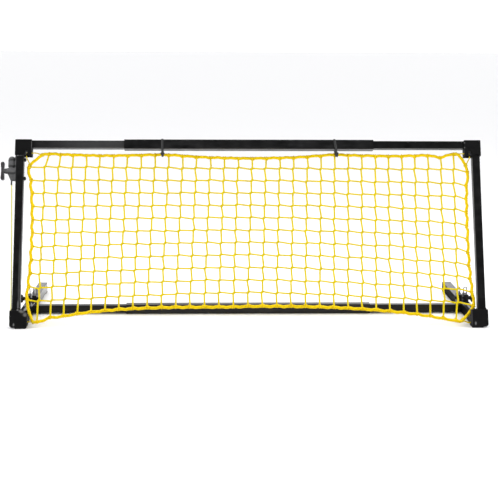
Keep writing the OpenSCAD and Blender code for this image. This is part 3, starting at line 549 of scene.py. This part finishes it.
def leg_coat(tree, skin):
    """Glossy coat of the legs, matte and darkest on the right leg's inner wall, and on the tops' front
    stretch as a painted dark reflection of the clamps.

    The wall is where the place across lies within a millimetre of it. The front stretch lies before
    a fixed depth, and leaves a glossy stripe along the middle of each leg.
    """
    grains = effect(tree, "Fine grain", Grain_per_metre=500.0, Blotch_per_metre=30.0)
    rubs = effect(tree, "Rub marks", Length=12.0, Amount=0.4)
    where = node(tree, "TexCoord").outputs["Object"]
    x, y = node(tree, "SeparateXYZ", Vector=where).outputs[:2]
    low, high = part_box("leg_right")
    wall = maths(tree, "LESS_THAN", apart(tree, x, low.x), 0.001)
    off = apart(tree, apart(tree, x, MID_X), (low.x + high.x) / 2 - MID_X)
    ahead = times(tree, y, -1.0)
    before = soft_step(tree, ahead, -FLOOR_Y - DARK_STRETCH_END[1], -FLOOR_Y - DARK_STRETCH_END[0])
    # Painted dark reflection of the clamps on the tops' front stretch, which loses its gloss; the right leg's
    # inner wall is made matte the same way
    dull = maths(tree, "MAXIMUM", wall, times(tree, before, soft_step(tree, off, *STRIPE_HALF)))
    glossy = less(tree, 1.0, dull)
    tone = maths(tree, "ADD", times(tree, grains["Blotch"], 0.5), rubs["Marks"], clamp=True)
    # The matte stretch also takes the darkest colour, as part of the painted dark reflection
    tone = times(tree, tone, glossy)
    weight = spread(tree, grains["Blotch"], 0.0, 1.0, 0.92, 0.8)
    set_up(
        tree, skin,
        Base_Color=blend_colours(tree, tone, grey(0.002, 0.0002), grey(0.008, 0.0005)),
        Roughness=0.6,
        Specular_IOR_Level=0.02,
        Coat_Roughness=0.14,
        Coat_Weight=times(tree, weight, glossy),
        Normal=bump(tree, grains["Grain"], 0.000003),
    )


# The coat of posts and tubes
POWDER = Coat(grey(0.002, 0.0002), grey(0.009, 0.0005), 0.34, 1400.0, 34.0, 0.6, 0.22)
# How each finish is made. A cord's numbers are its colour of painted shade in the grooves and its colour on
# the crowns, its strands, its lay per metre and its depth.
FINISHES = {
    "Powder coat": (coated, POWDER),
    "Post coat": (with_pale_spots, POWDER, POST_HIGHLIGHTS),
    "Dusty coat": (with_pale_spots, POWDER, PALE_STRETCH),
    "Sleeve coat": (coated, Coat(grey(0.002, 0.0002), grey(0.02, 0.0005), 0.34, 1500.0, 18.0, 0.6, 0.28)),
    "Leg coat": (leg_coat,),
    "Moulded black": (
        with_pale_spots, Coat(grey(0.0015, 0.0002), grey(0.006, 0.0005), 0.45, 1900.0, 55.0, 0.35, 0.17, 0.00004),
        BLOCK_HIGHLIGHTS, DULL,
    ),
    "Clamp black": (coated, Coat(grey(0.003, 0.0002), grey(0.009, 0.0005), 0.4, 1900.0, 55.0, 0.3, 0.25)),
    "Winder plastic": (
        grooved, Coat(grey(0.085, 0.002), grey(0.13, 0.002), 0.55, 1600.0, 60.0, 0.4, 0.14, 0.00006, 40.0),
    ),
    "Wing plastic": (
        coated, Coat(grey(0.028, 0.001), grey(0.055, 0.001), 0.42, 1600.0, 70.0, 0.4, 0.35, 0.00006, 40.0),
    ),
    "Knob plastic": (
        coated, Coat(grey(0.006, 0.0005), grey(0.018, 0.001), 0.42, 1600.0, 70.0, 0.4, 0.3, 0.00006, 40.0),
    ),
    "Foot rubber": (coated, Coat(grey(0.006), grey(0.018), 0.8, 1100.0, 80.0, 0.3, 0.25, 0.00014)),
    "Screw black": (coated, Coat(grey(0.004), grey(0.018), 0.3, 1500.0, 200.0, 0.5, 0.4)),
    "Tie nylon": (coated, Coat(grey(0.022, 0.001), grey(0.046, 0.001), 0.42, 900.0, 150.0, 0.3, 0.4)),
    "Loop wire": (coated, Coat(grey(0.002), grey(0.006), 0.5, 900.0, 150.0, 0.3, 0.05, 0.00003)),
    "Spring steel": (spring_steel,),
    "Net twine": (corded, (0.59, 0.43, 0.002), (0.84, 0.68, 0.004), 3.0, 120.0, 0.0003),
    "Hem rope": (corded, (0.7, 0.47, 0.001), (0.92, 0.67, 0.003), 3.0, 70.0, 0.0004),
    "Lacing cord": (corded, (0.62, 0.45, 0.01), (0.88, 0.69, 0.03), 4.0, 180.0, 0.0003),
    "Tension cord": (corded, (0.9, 0.84, 0.3), (1.0, 0.96, 0.4), 4.0, 180.0, 0.0003),
}


def finish_named(name):
    """The material of that name, made the first time it is asked for."""
    made = bpy.data.materials.get(name)
    if not made:
        made, tree, skin = material_start(name)
        build, *values = FINISHES[name]
        build(tree, skin, *values)
    return made


def both(*names):
    """Names of the left and the right piece of each kind."""
    return [name + hand for name in names for hand in ("_left", "_right")]


# The pieces that have each finish
NODE_FINISH = {
    "Post coat": ("post_left",),
    "Dusty coat": ("crossbar_tube_left",),
    "Powder coat": ("post_right", "crossbar_tube_right", *both("rear_bar_tube")),
    "Sleeve coat": ("crossbar_sleeve", "rear_bar_sleeve"),
    "Leg coat": both("leg"),
    "Moulded black": (
        *both("corner_block_top", "corner_block_bottom"),
        "crossbar_bushes", "rear_bar_bushes", "rear_bar_plugs",
    ),
    "Clamp black": both("leg_clamp", "clamp_nut"),
    "Winder plastic": ("winder_housing", "winder_spool", "cord_ferrule"),
    "Wing plastic": ("winder_wing_knob",),
    "Knob plastic": both("clamp_knob"),
    "Foot rubber": both("foot_pad", "leg_end_cap"),
    "Screw black": ("corner_screws", "rear_bar_bolts", "winder_screws"),
    "Loop wire": both("peg_loops"),
    "Spring steel": ("winder_pawl",),
}


# ---- Net shape ----


# Knots across: for each power of u, a number at the top row and its change down to the bottom row.
# The first power also has the size knot_half.
KNOTS_ACROSS = ((0.0084, -0.015), (0.0, 0.012), (-0.0045, 0.0085), (-0.014, -0.008))
# Lift of the top row at the left and the right side
SIDE_LIFT = (0.0045, -0.002)
# Scatter of the knots across and up: for each wave its size, its rate by column and by row, and its start
SCATTER = (
    ((0.0012, 2.7, 1.9, 0.0), (0.0008, 5.1, -3.3, 0.0)),
    ((0.0011, 3.9, -2.3, 1.0), (0.0008, 1.3, 4.7, 0.0)),
)


def knot_place(goal, u, f):
    """Place of a knot, across and up the lean, with u from -1 to 1 across and f from nought to one down.

    Across it is a cubic in u whose four numbers change evenly with f. Up, it is even down the
    middle of the net, and moves at the sides with the size of u raised to 1.6.
    """
    cubic = sum((top + down * f) * u**k for k, (top, down) in enumerate(KNOTS_ACROSS))
    x = goal.knot_half * u + cubic
    dip = np.where(u < 0, f, np.clip(f, 0, None) ** 0.8) * goal.side_dip
    side = np.where(u < 0, *SIDE_LIFT) - dip
    t = goal.knot_high - (goal.knot_high - goal.knot_low) * f + side * np.abs(u) ** 1.6
    return x, t


def mesh_knots(goal):
    """Places of the inner knots as arrays of columns by rows, counted from the lower left.

    A fixed small scatter is the sum of two sines of the column and row numbers.
    """
    n, m = goal.columns - 1, goal.rows - 1
    i, j = np.meshgrid(np.arange(n), np.arange(m), indexing="ij")
    places = knot_place(goal, 2 * i / (n - 1) - 1, 1 - j / (m - 1))
    return [
        place + sum(size * np.sin(by_i * i + by_j * j + start) for size, by_i, by_j, start in waves)
        for place, waves in zip(places, SCATTER)
    ]


def bell(x, middle, reach):
    """Bell curve, one at its middle: e raised to less the square of the distance in reaches."""
    return np.exp(-(((x - middle) / reach) ** 2))


def top_ends(goal, u):
    """Ends of the columns on the top hem.

    It sags as a parabola between the ties and between tie and corner. Its left corner is drawn in
    by an exponential of the way to it, and a bell curve dips it near the right corner.
    """
    x = knot_place(goal, u, np.full(len(u), -0.1))[0]
    x = x + 0.013 * np.exp((-0.673 - x) / 0.05)
    way = np.abs(x)
    out = np.clip((way - goal.tie_x) / (goal.top_half - goal.tie_x), 0, 1)
    outer = goal.tie_t + 0.003 * out - 0.026 * out * (1 - out)
    middle = goal.tie_t - goal.hem_sag * (1 - (way / goal.tie_x) ** 2)
    return x, np.where(way > goal.tie_x, outer, middle) - 0.009 * bell(x, 0.636, 0.02)


def low_ends(goal, u):
    """Ends of the columns on the bottom hem, which rises as one less a power of the way to its corner."""
    x = knot_place(goal, u, np.ones(len(u)))[0] + np.where(u < 0, 0.004 * u, -0.007 * u**4)
    way = np.clip(np.abs(x) / goal.low_half, 0, 1)
    left = goal.low_t + goal.hem_rise * (1 - way**3.9) + 0.004 * bell(x, -0.64, 0.02)
    right = goal.low_t - 0.001 + (goal.hem_rise + 0.003) * (1 - way**2.7)
    return x, np.where(u < 0, left, right)


def left_ends(goal, f):
    """Ends of the rows on the left hem, which draws in as a power of the way from its corners."""
    t = knot_place(goal, np.full(len(f), -1.0), f)[1] + 0.006 * f - 0.001
    bow = 0.019 - 0.0145 * np.abs((t - 0.32) / 0.22) ** 2.2
    return bow - goal.side_half - 0.004 * (1 - f) ** 12 + 0.003 * f**10, t


def right_ends(goal, f):
    """Ends of the rows on the right hem, which draws in by one power above its middle and one below."""
    t = knot_place(goal, np.ones(len(f)), f)[1] - 0.01
    up = (t - 0.29) / 0.23
    return goal.side_half - 0.0105 + 0.0095 * np.where(up > 0, np.abs(up) ** 5, 1.5 * up**2), t


def hem_ends(goal):
    """Ends of the columns on the top and bottom hem and of the rows on the left and right hem."""
    u = np.linspace(-1, 1, goal.columns - 1)
    f = np.linspace(1, 0, goal.rows - 1)
    pairs = top_ends(goal, u), low_ends(goal, u), left_ends(goal, f), right_ends(goal, f)
    return [np.stack(pair, 1) for pair in pairs]


# Hem at the four rounded corners of the net, across and up the lean, counted round from the lower right
CORNERS = (
    ((0.679, 0.0215), (0.69, 0.029), (0.702, 0.041), (0.714, 0.055)),
    ((0.7185, 0.533), (0.712, 0.548), (0.702, 0.565), (0.69, 0.577)),
    ((-0.676, 0.5745), (-0.693, 0.5605), (-0.7105, 0.5465)),
    ((-0.713, 0.074), (-0.709, 0.057), (-0.702, 0.039), (-0.695, 0.0235)),
)


def hem_route(goal, spacing=0.004):
    """Closed line of the hem through the ends of every column and row and round the corners.

    Half way between two twines it stands a little out of the net, because each twine pulls it in.
    """
    top, low, left, right = hem_ends(goal)

    def waved(p, outwards):
        q = np.empty((2 * len(p) - 1, 2))
        q[0::2], q[1::2] = p, (p[1:] + p[:-1]) / 2 + outwards
        return q

    loop = np.vstack([
        waved(low, (0, -1.4 * goal.scallop)), CORNERS[0],
        waved(right, (2 * goal.scallop, 0)), CORNERS[1],
        waved(top[::-1], (0, goal.scallop)), CORNERS[2],
        waved(left[::-1], (-2 * goal.scallop, 0)), CORNERS[3],
    ])
    k = np.arange(len(loop))
    p = on_frame(loop[:, 0], loop[:, 1], MID_N + 0.001 * np.sin(0.9 * k) + 0.0006 * np.sin(2.3 * k + 1))
    line = smooth_route(np.vstack([p[-2:], p, p[:3]]), spacing)
    half = len(line) // 2
    first = np.argmin(np.linalg.norm(line[:half] - p[0], axis=1))
    last = half + np.argmin(np.linalg.norm(line[half:] - p[0], axis=1))
    return line[first:last]


def knotted_tube(line, depth, knots, radius, goal):
    """Tube through a line of knots, which swells by a bell curve of the distance to the nearest knot."""
    path = smooth_route(on_frame(line[:, 0], line[:, 1], depth), 0.0035)
    far = np.linalg.norm(path[:, None] - on_frame(knots[:, 0], knots[:, 1])[None], axis=2).min(1)
    return tube_mesh(path, radius * (1 + goal.knot_swell * bell(far, 0.0, 0.0034)), 7)


# The columns' and the rows' radius as a share of the twine, and how far each moves back at a knot
COLUMN_TWINE = (0.53, -0.0007)
ROW_TWINE = (0.46, 0.0007)


def twine_meshes(goal):
    """Tubes of every column and row of the net.

    At a knot the two twines cross along a short diagonal, from its upper right end to its lower
    left end. A column comes from above to the first and leaves from the second; a row comes from
    the left to the second and leaves from the first. One passes in front, the other behind.
    """
    knots = np.stack(mesh_knots(goal), -1)
    top, low, left, right = hem_ends(goal)
    reach = np.array([goal.knot_x, goal.knot_t])

    def twine_tube(places, start, end, share, step):
        line = np.empty((2 * len(places) + 2, 2))
        line[0], line[-1] = start, end
        line[1:-1:2], line[2:-1:2] = places - reach, places + reach
        depth = np.full(len(line), MID_N)
        depth[1:-1] += step
        return knotted_tube(line, depth, places, goal.twine * share, goal)

    columns = [twine_tube(knots[i], low[i], top[i], *COLUMN_TWINE) for i in range(knots.shape[0])]
    rows = [twine_tube(knots[:, j], left[j], right[j], *ROW_TWINE) for j in range(knots.shape[1])]
    return join(columns + rows)


def turns_round(x, t, ax, at, radius, twine, n_turns=0.8, start=0.0, pitch=1.1, sides=6):
    """Turns of twine round the hem: a helix along its direction ax, at, by pitch twines a turn."""
    s = np.linspace(-n_turns, n_turns, int(18 * n_turns))
    turn = 2 * np.pi * s + start
    step = s * twine * pitch
    px = x + ax * step - at * radius * np.cos(turn)
    pt = t + at * step + ax * radius * np.cos(turn)
    return tube_mesh(on_frame(px, pt, MID_N + radius * np.sin(turn)), twine * 0.4, sides)


def lashing_meshes(goal):
    """Turns of twine round the hem rope where each column and row ends."""
    sides = hem_ends(goal)
    ends = np.vstack(sides)
    along = np.vstack([np.gradient(p, axis=0) for p in sides])
    along /= np.linalg.norm(along, axis=1, keepdims=True)
    radius = goal.hem / 2 - goal.twine * 0.05
    places = enumerate(zip(ends, along))
    return join([turns_round(*end, *way, radius, goal.twine, start=0.7 * k) for k, (end, way) in places])


# Length of the hem rope in which its strands make a full turn
HEM_LAY = 0.062


def strand_meshes(goal, route):
    """The hem rope's three strands: each turns round its middle line once every HEM_LAY metres."""
    side, up = frames_along(route, closed=True)
    along = way_along(route)[:, None]
    turns = round(along[-1, 0] / HEM_LAY) * (len(along) - 1) / len(along)
    parts = []
    for k in range(3):
        a = 2 * np.pi * (turns * along / along[-1] + k / 3)
        strand = route + (np.cos(a) * side + np.sin(a) * up) * goal.hem * 0.17
        parts.append(tube_mesh(strand, goal.hem * 0.33, closed=True))
    return join(parts)


# Routes of the cords, as places across, behind the front face and up the lean
LACE_TOP = (
    (0.6826, 0.0127, 0.5786), (0.69865, 0.009, 0.57875), (0.70765, 0.005, 0.57795),
    (0.72545, 0.005, 0.57795), (0.72715, 0.005, 0.57715), (0.72795, 0.005, 0.57555),
    (0.72805, 0.005, 0.57345), (0.72805, 0.005, 0.56615), (0.72705, 0.0065, 0.56115),
    (0.7226, 0.0127, 0.5416),
)
LACE_LOW = (
    (0.6926, 0.0127, 0.023), (0.70095, 0.0127, 0.02), (0.70995, 0.0127, 0.018), (0.72195, 0.0127, 0.018),
)
TENSION = (
    (-0.776, 0.0127, 0.51255), (-0.7756, 0.0127, 0.47095), (-0.7718, 0.0127, 0.336), (-0.7685, 0.0127, 0.2),
    (-0.7663, 0.0127, 0.065), (-0.7658, 0.0127, 0.0385), (-0.7655, 0.0127, 0.0315), (-0.7632, 0.0127, 0.0262),
    (-0.7583, 0.0127, 0.024), (-0.745, 0.0127, 0.024), (-0.73, 0.0127, 0.024),
)
TENSION_END = (
    (-0.732, 0.0127, 0.024), (-0.71895, 0.0127, 0.024), (-0.70695, 0.0127, 0.024), (-0.6926, 0.0127, 0.0235),
)


# Cable ties: gaps round the sleeve and the hem, the strap's corners, width and thickness, its middle's
# height over the hem and its length up the lean
SLEEVE_GAP, HEM_GAP = 0.0005, 0.0004
STRAP_CORNER, STRAP_WIDTH, STRAP_THICK = 0.002, 0.0072, 0.0014
STRAP_MIDDLE, STRAP_TALL = 0.02, 0.045
# The right tie's head, how far heads and tails stand before the hem, and the left tie's ring with its wire
HEAD_SIZE, HEAD_AHEAD = (0.0122, 0.006, 0.015), 0.003
RING_HALF, RING_WIRE, RING_AHEAD = (0.0047, 0.0052), 0.0019, 0.0022
# A cut tail: share of the strap's slant, and drop below the hem's middle
TIE_TAIL = ((0.1, 0.003), (0.2, 0.007), (0.35, 0.01))


def band_mesh(outline, width, thickness, shift):
    """Closed band: a loop of n, t places, each drawn at both edges of the width and at both faces.

    The outer face stands off along the loop's outward normal by the thickness. The width is along
    x, and its middle is at shift, one value for each place of the loop.
    """
    p = np.asarray(outline, float)
    step = np.roll(p, -1, 0) - np.roll(p, 1, 0)
    out = np.stack([step[:, 1], -step[:, 0]], 1) / np.linalg.norm(step, axis=1, keepdims=True)
    half, edge = width / 2, thickness * 0.35
    low, top = p + out * (thickness - edge), p + out * thickness
    rows = ((-half, p), (-half, low), (edge - half, top), (half - edge, top), (half, low), (half, p))
    verts = np.stack([on_frame(shift + dx, at[:, 1], at[:, 0]) for dx, at in rows], 1).reshape(-1, 3)
    quads = ring_faces(len(p), len(rows), closed=True)[0][:, [0, 3, 2, 1]]
    return verts, [quads], np.zeros((quads.size, 2))


def arc(middle, radius, start, end, count):
    """Places on a circle, from one angle in degrees to another."""
    a = np.radians(np.linspace(start, end, count))
    return middle + radius * np.stack([np.cos(a), np.sin(a)], 1)


def tie_meshes(goal, side, slant, ring):
    """A cable tie: a strap round sleeve and hem, a ring or a head before the hem, and a cut tail.

    The strap's outline is the lower half of a circle round the hem, joined to the sleeve's
    rounded square. The strap leans across by the slant between its lower and upper end.
    """
    half = SLEEVE / 2 + SLEEVE_GAP
    low = goal.hem / 2 + HEM_GAP
    inset, top = half - STRAP_CORNER, BAR_T + half - STRAP_CORNER
    outline = np.vstack([
        arc((MID_N, goal.tie_t), low, 200, 340, 12),
        [[MID_N + half, BAR_T - half]],
        arc((MID_N + inset, top), STRAP_CORNER, 0, 90, 5),
        arc((MID_N - inset, top), STRAP_CORNER, 90, 180, 5),
        [[MID_N - half, BAR_T - half]],
    ])
    x = side * goal.tie_x + slant * (goal.tie_t + STRAP_MIDDLE - outline[:, 1]) / STRAP_TALL
    parts = [band_mesh(outline, STRAP_WIDTH, STRAP_THICK, x)]
    if ring:
        b = 2 * np.pi * np.arange(24) / 24
        wide, tall = RING_HALF
        up = goal.tie_t + 0.001 + tall * np.sin(b)
        hoop = on_frame(x[0] + wide * np.cos(b), up, MID_N - low - RING_AHEAD)
        parts.append(tube_mesh(hoop, RING_WIRE, closed=True))
    else:
        head = on_frame(x[0], goal.tie_t - 0.0005, MID_N - low - HEAD_AHEAD)
        parts.append(block_mesh(HEAD_SIZE, head, Matrix.Rotation(-LEAN, 3, "X")))
    share, drop = np.array(TIE_TAIL).T
    tail = on_frame(x[0] + slant * share, goal.tie_t - drop, MID_N - low - HEAD_AHEAD)
    parts.append(tube_mesh(smooth_route(tail, 0.002), 0.0016))
    return join(parts)


def hitch_on(hem, x, t):
    """Nearest place of the hem to a place across and up the lean, with the hem's direction there."""
    height = (hem[:, 1] - FLOOR_Y) * math.sin(LEAN) + hem[:, 2] * math.cos(LEAN)
    places = np.stack([hem[:, 0] - MID_X, height], 1)
    k = int(np.argmin(np.linalg.norm(places - [x, t], axis=1)))
    step = places[(k + 3) % len(places)] - places[k - 3]
    return (*places[k], *(step / np.linalg.norm(step)))


def cord_mesh(route, thickness, hem=None, radius=0.0, ends=(), lay=0.011):
    """A braided cord along its route, with turns round the hem at each of the tied ends.

    A tied end of the route is first moved to the nearest place of the hem.
    """
    points = [list(p) for p in route]
    hitches = []
    for k in ends:
        hitch = hitch_on(hem, points[k][0], points[k][2])
        points[k] = [hitch[0], MID_N, hitch[1]]
        hitches.append(turns_round(*hitch, radius, thickness, n_turns=1.0, start=0.6, pitch=0.9, sides=10))
    x, n, t = np.asarray(points).T
    cord = tube_mesh(smooth_route(on_frame(x, t, n), 0.0012), thickness / 2, 12, lobes=4, lay=lay)
    return join([cord, *hitches])


# ---- Operators ----


def amount(name, description, default, **kind):
    """An amount that a user may change, nought or more."""
    return FloatProperty(name=name, description=description, default=default, min=0.0, **kind)


def metres(name, description, default):
    """A length that a user may change."""
    return amount(name, description, default, unit="LENGTH")


class GoalSizes(bpy.types.PropertyGroup):
    """Sizes of the soft pieces, across and up the leaning frame."""

    columns: IntProperty(name="Columns of gaps", description="Gaps across the net", default=32, min=8, max=60)
    rows: IntProperty(name="Rows of gaps", description="Gaps up the net", default=12, min=4, max=30)
    twine: metres("Twine", "Thickness of the net's twine", 0.0056)
    hem: metres("Hem", "Thickness of the hem rope", 0.0105)
    pull_cord: metres("Tension cord", "Thickness of the tension cord", 0.005)
    low_cord: metres("Lower lacing", "Thickness of the bottom lacing cord", 0.0048)
    cord: metres("Cord", "Thickness of the upper lacing cords", 0.0038)
    knot_half: metres("Knot half width", "Half width of the knots, before the sides draw in", 0.686)
    knot_low: metres("Lowest knots", "Height of the lowest row at mid net", 0.1176)
    knot_high: metres("Highest knots", "Height of the highest row at mid net", 0.529)
    side_dip: metres("Side dip", "Dip of the lowest row at the sides", 0.032)
    top_half: metres("Top half width", "Top hem's corners", 0.68)
    low_half: metres("Bottom half width", "Bottom hem's corners", 0.69)
    side_half: metres("Side half width", "Side hems at their corners", 0.7225)
    tie_x: metres("Tie place", "Cable ties' distance from the middle", 0.285)
    tie_t: metres("Tie height", "Height of the hem at the ties", 0.5755)
    hem_sag: metres("Hem sag", "Sag of the top hem between the ties", 0.0135)
    low_t: metres("Bottom corner", "Height of the hem at its bottom corners", 0.0215)
    hem_rise: metres("Hem rise", "Rise of the bottom hem", 0.0505)
    scallop: metres("Scallop", "Wave of the hem between twines", 0.0018)
    knot_x: metres("Knot reach across", "Half the knot's diagonal across", 0.0019)
    knot_t: metres("Knot reach up", "Half the knot's diagonal up", 0.0017)
    knot_swell: amount("Knot swell", "How much thicker the twine is at a knot", 0.35)


class GoalLooks(bpy.types.PropertyGroup):
    """Colours and light of the stage."""

    floor_tone: FloatVectorProperty(
        name="Floor", description="Colour of the floor", subtype="COLOR", default=(0.81, 0.812, 0.825)
    )
    front_light: amount("Front light", "Brightness of the dim room in front", 0.11)
    back_light: amount("Back light", "Brightness of the wall behind", 1.28)
    high_light: amount("Ceiling light", "Brightness of the ceiling", 2.1)
    top_power: amount("Top light", "Power of the soft light above", 54.0, subtype="POWER")
    side_power: amount("Side lights", "Power of each soft side light", 62.0, subtype="POWER")


# Packed soft pieces, which the net, the cords and the ties replace
SOFT_NODES = {
    "net_mesh", "net_hem_rope", "tension_cord", "lacing_cord_bottom_right",
    *both("cable_tie", "lacing_cord_top"),
}


class GOAL_OT_finishes(bpy.types.Operator):
    """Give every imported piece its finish"""

    bl_idname = "goal.finishes"
    bl_label = "Finishes"

    def execute(self, context):
        bare = set(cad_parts) - SOFT_NODES
        for finish, names in NODE_FINISH.items():
            material = finish_named(finish)
            for name in names:
                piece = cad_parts[name]
                piece.data.materials.clear()
                piece.data.materials.append(material)
            bare -= set(names)
        if bare:
            raise RuntimeError("no finish for " + ", ".join(sorted(bare)))
        return {"FINISHED"}


class GOAL_OT_net(bpy.types.Operator):
    """Make the net's twines, its hem rope and the lashings between them"""

    bl_idname = "goal.net"
    bl_label = "Net"

    def execute(self, context):
        goal = context.scene.goal_sizes
        new_piece("net_twines", twine_meshes(goal), "Net twine", ("net_mesh",))
        route = hem_route(goal)
        if len(route) < 400:
            raise RuntimeError("the hem's line didn't close round the net")
        new_piece("hem_strands", strand_meshes(goal, route), "Hem rope", ("net_hem_rope",))
        new_piece("hem_lashings", lashing_meshes(goal), "Hem rope")
        return {"FINISHED"}


class GOAL_OT_cords(bpy.types.Operator):
    """Make the lacing cords at the corners and the tension cord beside the left post"""

    bl_idname = "goal.cords"
    bl_label = "Cords"

    def execute(self, context):
        goal = context.scene.goal_sizes
        hem, ring = hem_route(goal), goal.hem / 2 + 0.0002
        for hand, side in (("left", -1), ("right", 1)):
            lace = cord_mesh(np.asarray(LACE_TOP) * [side, 1, 1], goal.cord, hem, ring, (0, -1))
            new_piece("lace_top_" + hand, lace, "Lacing cord", ("lacing_cord_top_" + hand,))
        low = cord_mesh(LACE_LOW, goal.low_cord, hem, ring, (0,))
        new_piece("lace_bottom_right", low, "Lacing cord", ("lacing_cord_bottom_right",))
        pull = cord_mesh(TENSION, goal.pull_cord, lay=0.014)
        new_piece("tension_braid", pull, "Tension cord", ("tension_cord",))
        end = cord_mesh(TENSION_END, goal.cord, hem, ring, (-1,))
        new_piece("tension_end", end, "Lacing cord")
        return {"FINISHED"}


class GOAL_OT_ties(bpy.types.Operator):
    """Make the two cable ties that hang the top hem from the crossbar"""

    bl_idname = "goal.ties"
    bl_label = "Cable ties"

    def execute(self, context):
        for hand, side, slant, ring in (("left", -1, 0.0004, True), ("right", 1, 0.0065, False)):
            tie = tie_meshes(context.scene.goal_sizes, side, slant, ring)
            new_piece("tie_strap_" + hand, tie, "Tie nylon", ("cable_tie_" + hand,))
        return {"FINISHED"}


# Camera: turn sideways, tilt down and roll in radians; place from the goal's middle on its floor line;
# focal length as a multiple of the sensor's width
CAMERA_TURN = (0.0312, 0.1845, 0.005)
CAMERA_PLACE = (-0.1219, -3.7286, 0.9546)
CAMERA_REACH = 1200.0 / 498.0
# Soft lights: name, the look that holds the power, place, what it aims at, and width and height
LIGHTS = (
    ("top_light", "top_power", (0.0, 0.6, 3.2), (0.0, 0.1, 0.0), (4.0, 3.0)),
    ("left_light", "side_power", (-3.2, -1.6, 1.6), (0.0, 0.0, 0.3), (1.6, 2.2)),
    ("right_light", "side_power", (3.2, -1.6, 1.6), (0.0, 0.0, 0.3), (1.6, 2.2)),
)
# Height angle of the middle of the dim patch that stands for the dark room in front
DIM_ANGLE = 0.5


def soft_light(name, power, place, aim, size):
    """Adds a rectangular light at a place, turned to what it aims at."""
    data = bpy.data.lights.new(name, "AREA")
    data.shape = "RECTANGLE"
    data.size, data.size_y = size
    data.energy = power
    lamp = in_scene(name, data)
    lamp.location = place
    lamp.rotation_euler = (Vector(aim) - Vector(place)).to_track_quat("-Z", "Y").to_euler()


def studio_world(looks):
    """White surroundings: bright ceiling, paler walls and one dim patch ahead of the goal.

    The brightness goes smoothly from wall to ceiling with height. The patch is a smooth step of
    the angle to its middle, and ends at the horizon.
    """
    world = bpy.data.worlds.new("Studio")
    world.use_nodes = True
    tree = world.node_tree
    tree.nodes.clear()
    where = node(tree, "TexCoord").outputs["Generated"]
    height = node(tree, "SeparateXYZ", Vector=where).outputs["Z"]
    facing = vector_maths(tree, "DOT_PRODUCT", where, (0.0, -math.cos(DIM_ANGLE), math.sin(DIM_ANGLE)))
    patch = soft_step(tree, facing.outputs["Value"], 0.3, 0.72)
    dim = times(tree, patch, soft_step(tree, height, 0.0, 0.05))
    rise = soft_step(tree, height, 0.25, 0.9)
    bright = maths(tree, "MULTIPLY_ADD", rise, looks.high_light - looks.back_light, looks.back_light)
    lit = times(tree, bright, less(tree, 1.0, dim))
    strength = maths(tree, "ADD", lit, times(tree, dim, looks.front_light))
    sky = node(tree, "Background", Color=(1.0, 1.0, 1.0, 1.0), Strength=strength)
    node(tree, "OutputWorld", Surface=sky.outputs["Background"])
    return world


def camera_turn():
    """The camera's turn: its ahead from the sideways turn and the tilt, then rolled about it."""
    yaw, pitch, roll = CAMERA_TURN
    flat = math.cos(pitch)
    ahead = Vector((math.sin(yaw) * flat, math.cos(yaw) * flat, -math.sin(pitch)))
    right = Vector((math.cos(yaw), -math.sin(yaw), 0.0))
    up = right.cross(ahead)
    right, up = right * math.cos(roll) + up * math.sin(roll), up * math.cos(roll) - right * math.sin(roll)
    return Matrix((right, up, -ahead)).transposed().to_4x4()


class GOAL_OT_stage(bpy.types.Operator):
    """Set the floor, the soft lights and the camera"""

    bl_idname = "goal.stage"
    bl_label = "Stage"

    def execute(self, context):
        looks = context.scene.goal_looks
        scene = context.scene
        mesh = bpy.data.meshes.new("floor")
        mesh.from_pydata([(-30, -20, 0), (30, -20, 0), (30, 40, 0), (-30, 40, 0)], [], [(0, 1, 2, 3)])
        floor = in_scene("floor", mesh)
        m, tree, skin = material_start("Pale floor")
        set_up(tree, skin, Base_Color=(*looks.floor_tone, 1.0), Roughness=0.6, Specular_IOR_Level=0.2)
        mesh.materials.append(m)

        scene.world = studio_world(looks)
        for name, power, place, aim, size in LIGHTS:
            soft_light(name, getattr(looks, power), place, aim, size)

        data = bpy.data.cameras.new("camera")
        data.sensor_width = 36.0
        data.lens = CAMERA_REACH * data.sensor_width
        data.clip_end = 200.0
        eye = in_scene("camera", data)
        place = Vector(CAMERA_PLACE) + Vector((MID_X, FLOOR_Y, 0.0))
        eye.matrix_world = Matrix.Translation(place) @ camera_turn()
        scene.camera = eye
        scene.view_settings.view_transform = "Standard"
        return {"FINISHED"}


class GOAL_PT_panel(bpy.types.Panel):
    """Lists the goal's pieces in the order in which they are made"""

    bl_label = "Goal"
    bl_space_type = "VIEW_3D"
    bl_region_type = "UI"
    bl_category = "Goal"

    def draw(self, context):
        for name in STEPS:
            self.layout.operator("goal." + name)


STEPS = ("stage", "cords", "finishes", "net", "ties")
CLASSES = (
    GoalSizes, GoalLooks, GOAL_OT_finishes, GOAL_OT_net, GOAL_OT_cords, GOAL_OT_ties, GOAL_OT_stage,
    GOAL_PT_panel,
)


def register():
    for c in CLASSES:
        bpy.utils.register_class(c)
    bpy.types.Scene.goal_sizes = PointerProperty(type=GoalSizes)
    bpy.types.Scene.goal_looks = PointerProperty(type=GoalLooks)


def unregister():
    del bpy.types.Scene.goal_looks
    del bpy.types.Scene.goal_sizes
    for c in reversed(CLASSES):
        bpy.utils.unregister_class(c)


def main():
    register()
    for name in STEPS:
        getattr(bpy.ops.goal, name)()


if __name__ == "__main__":
    main()
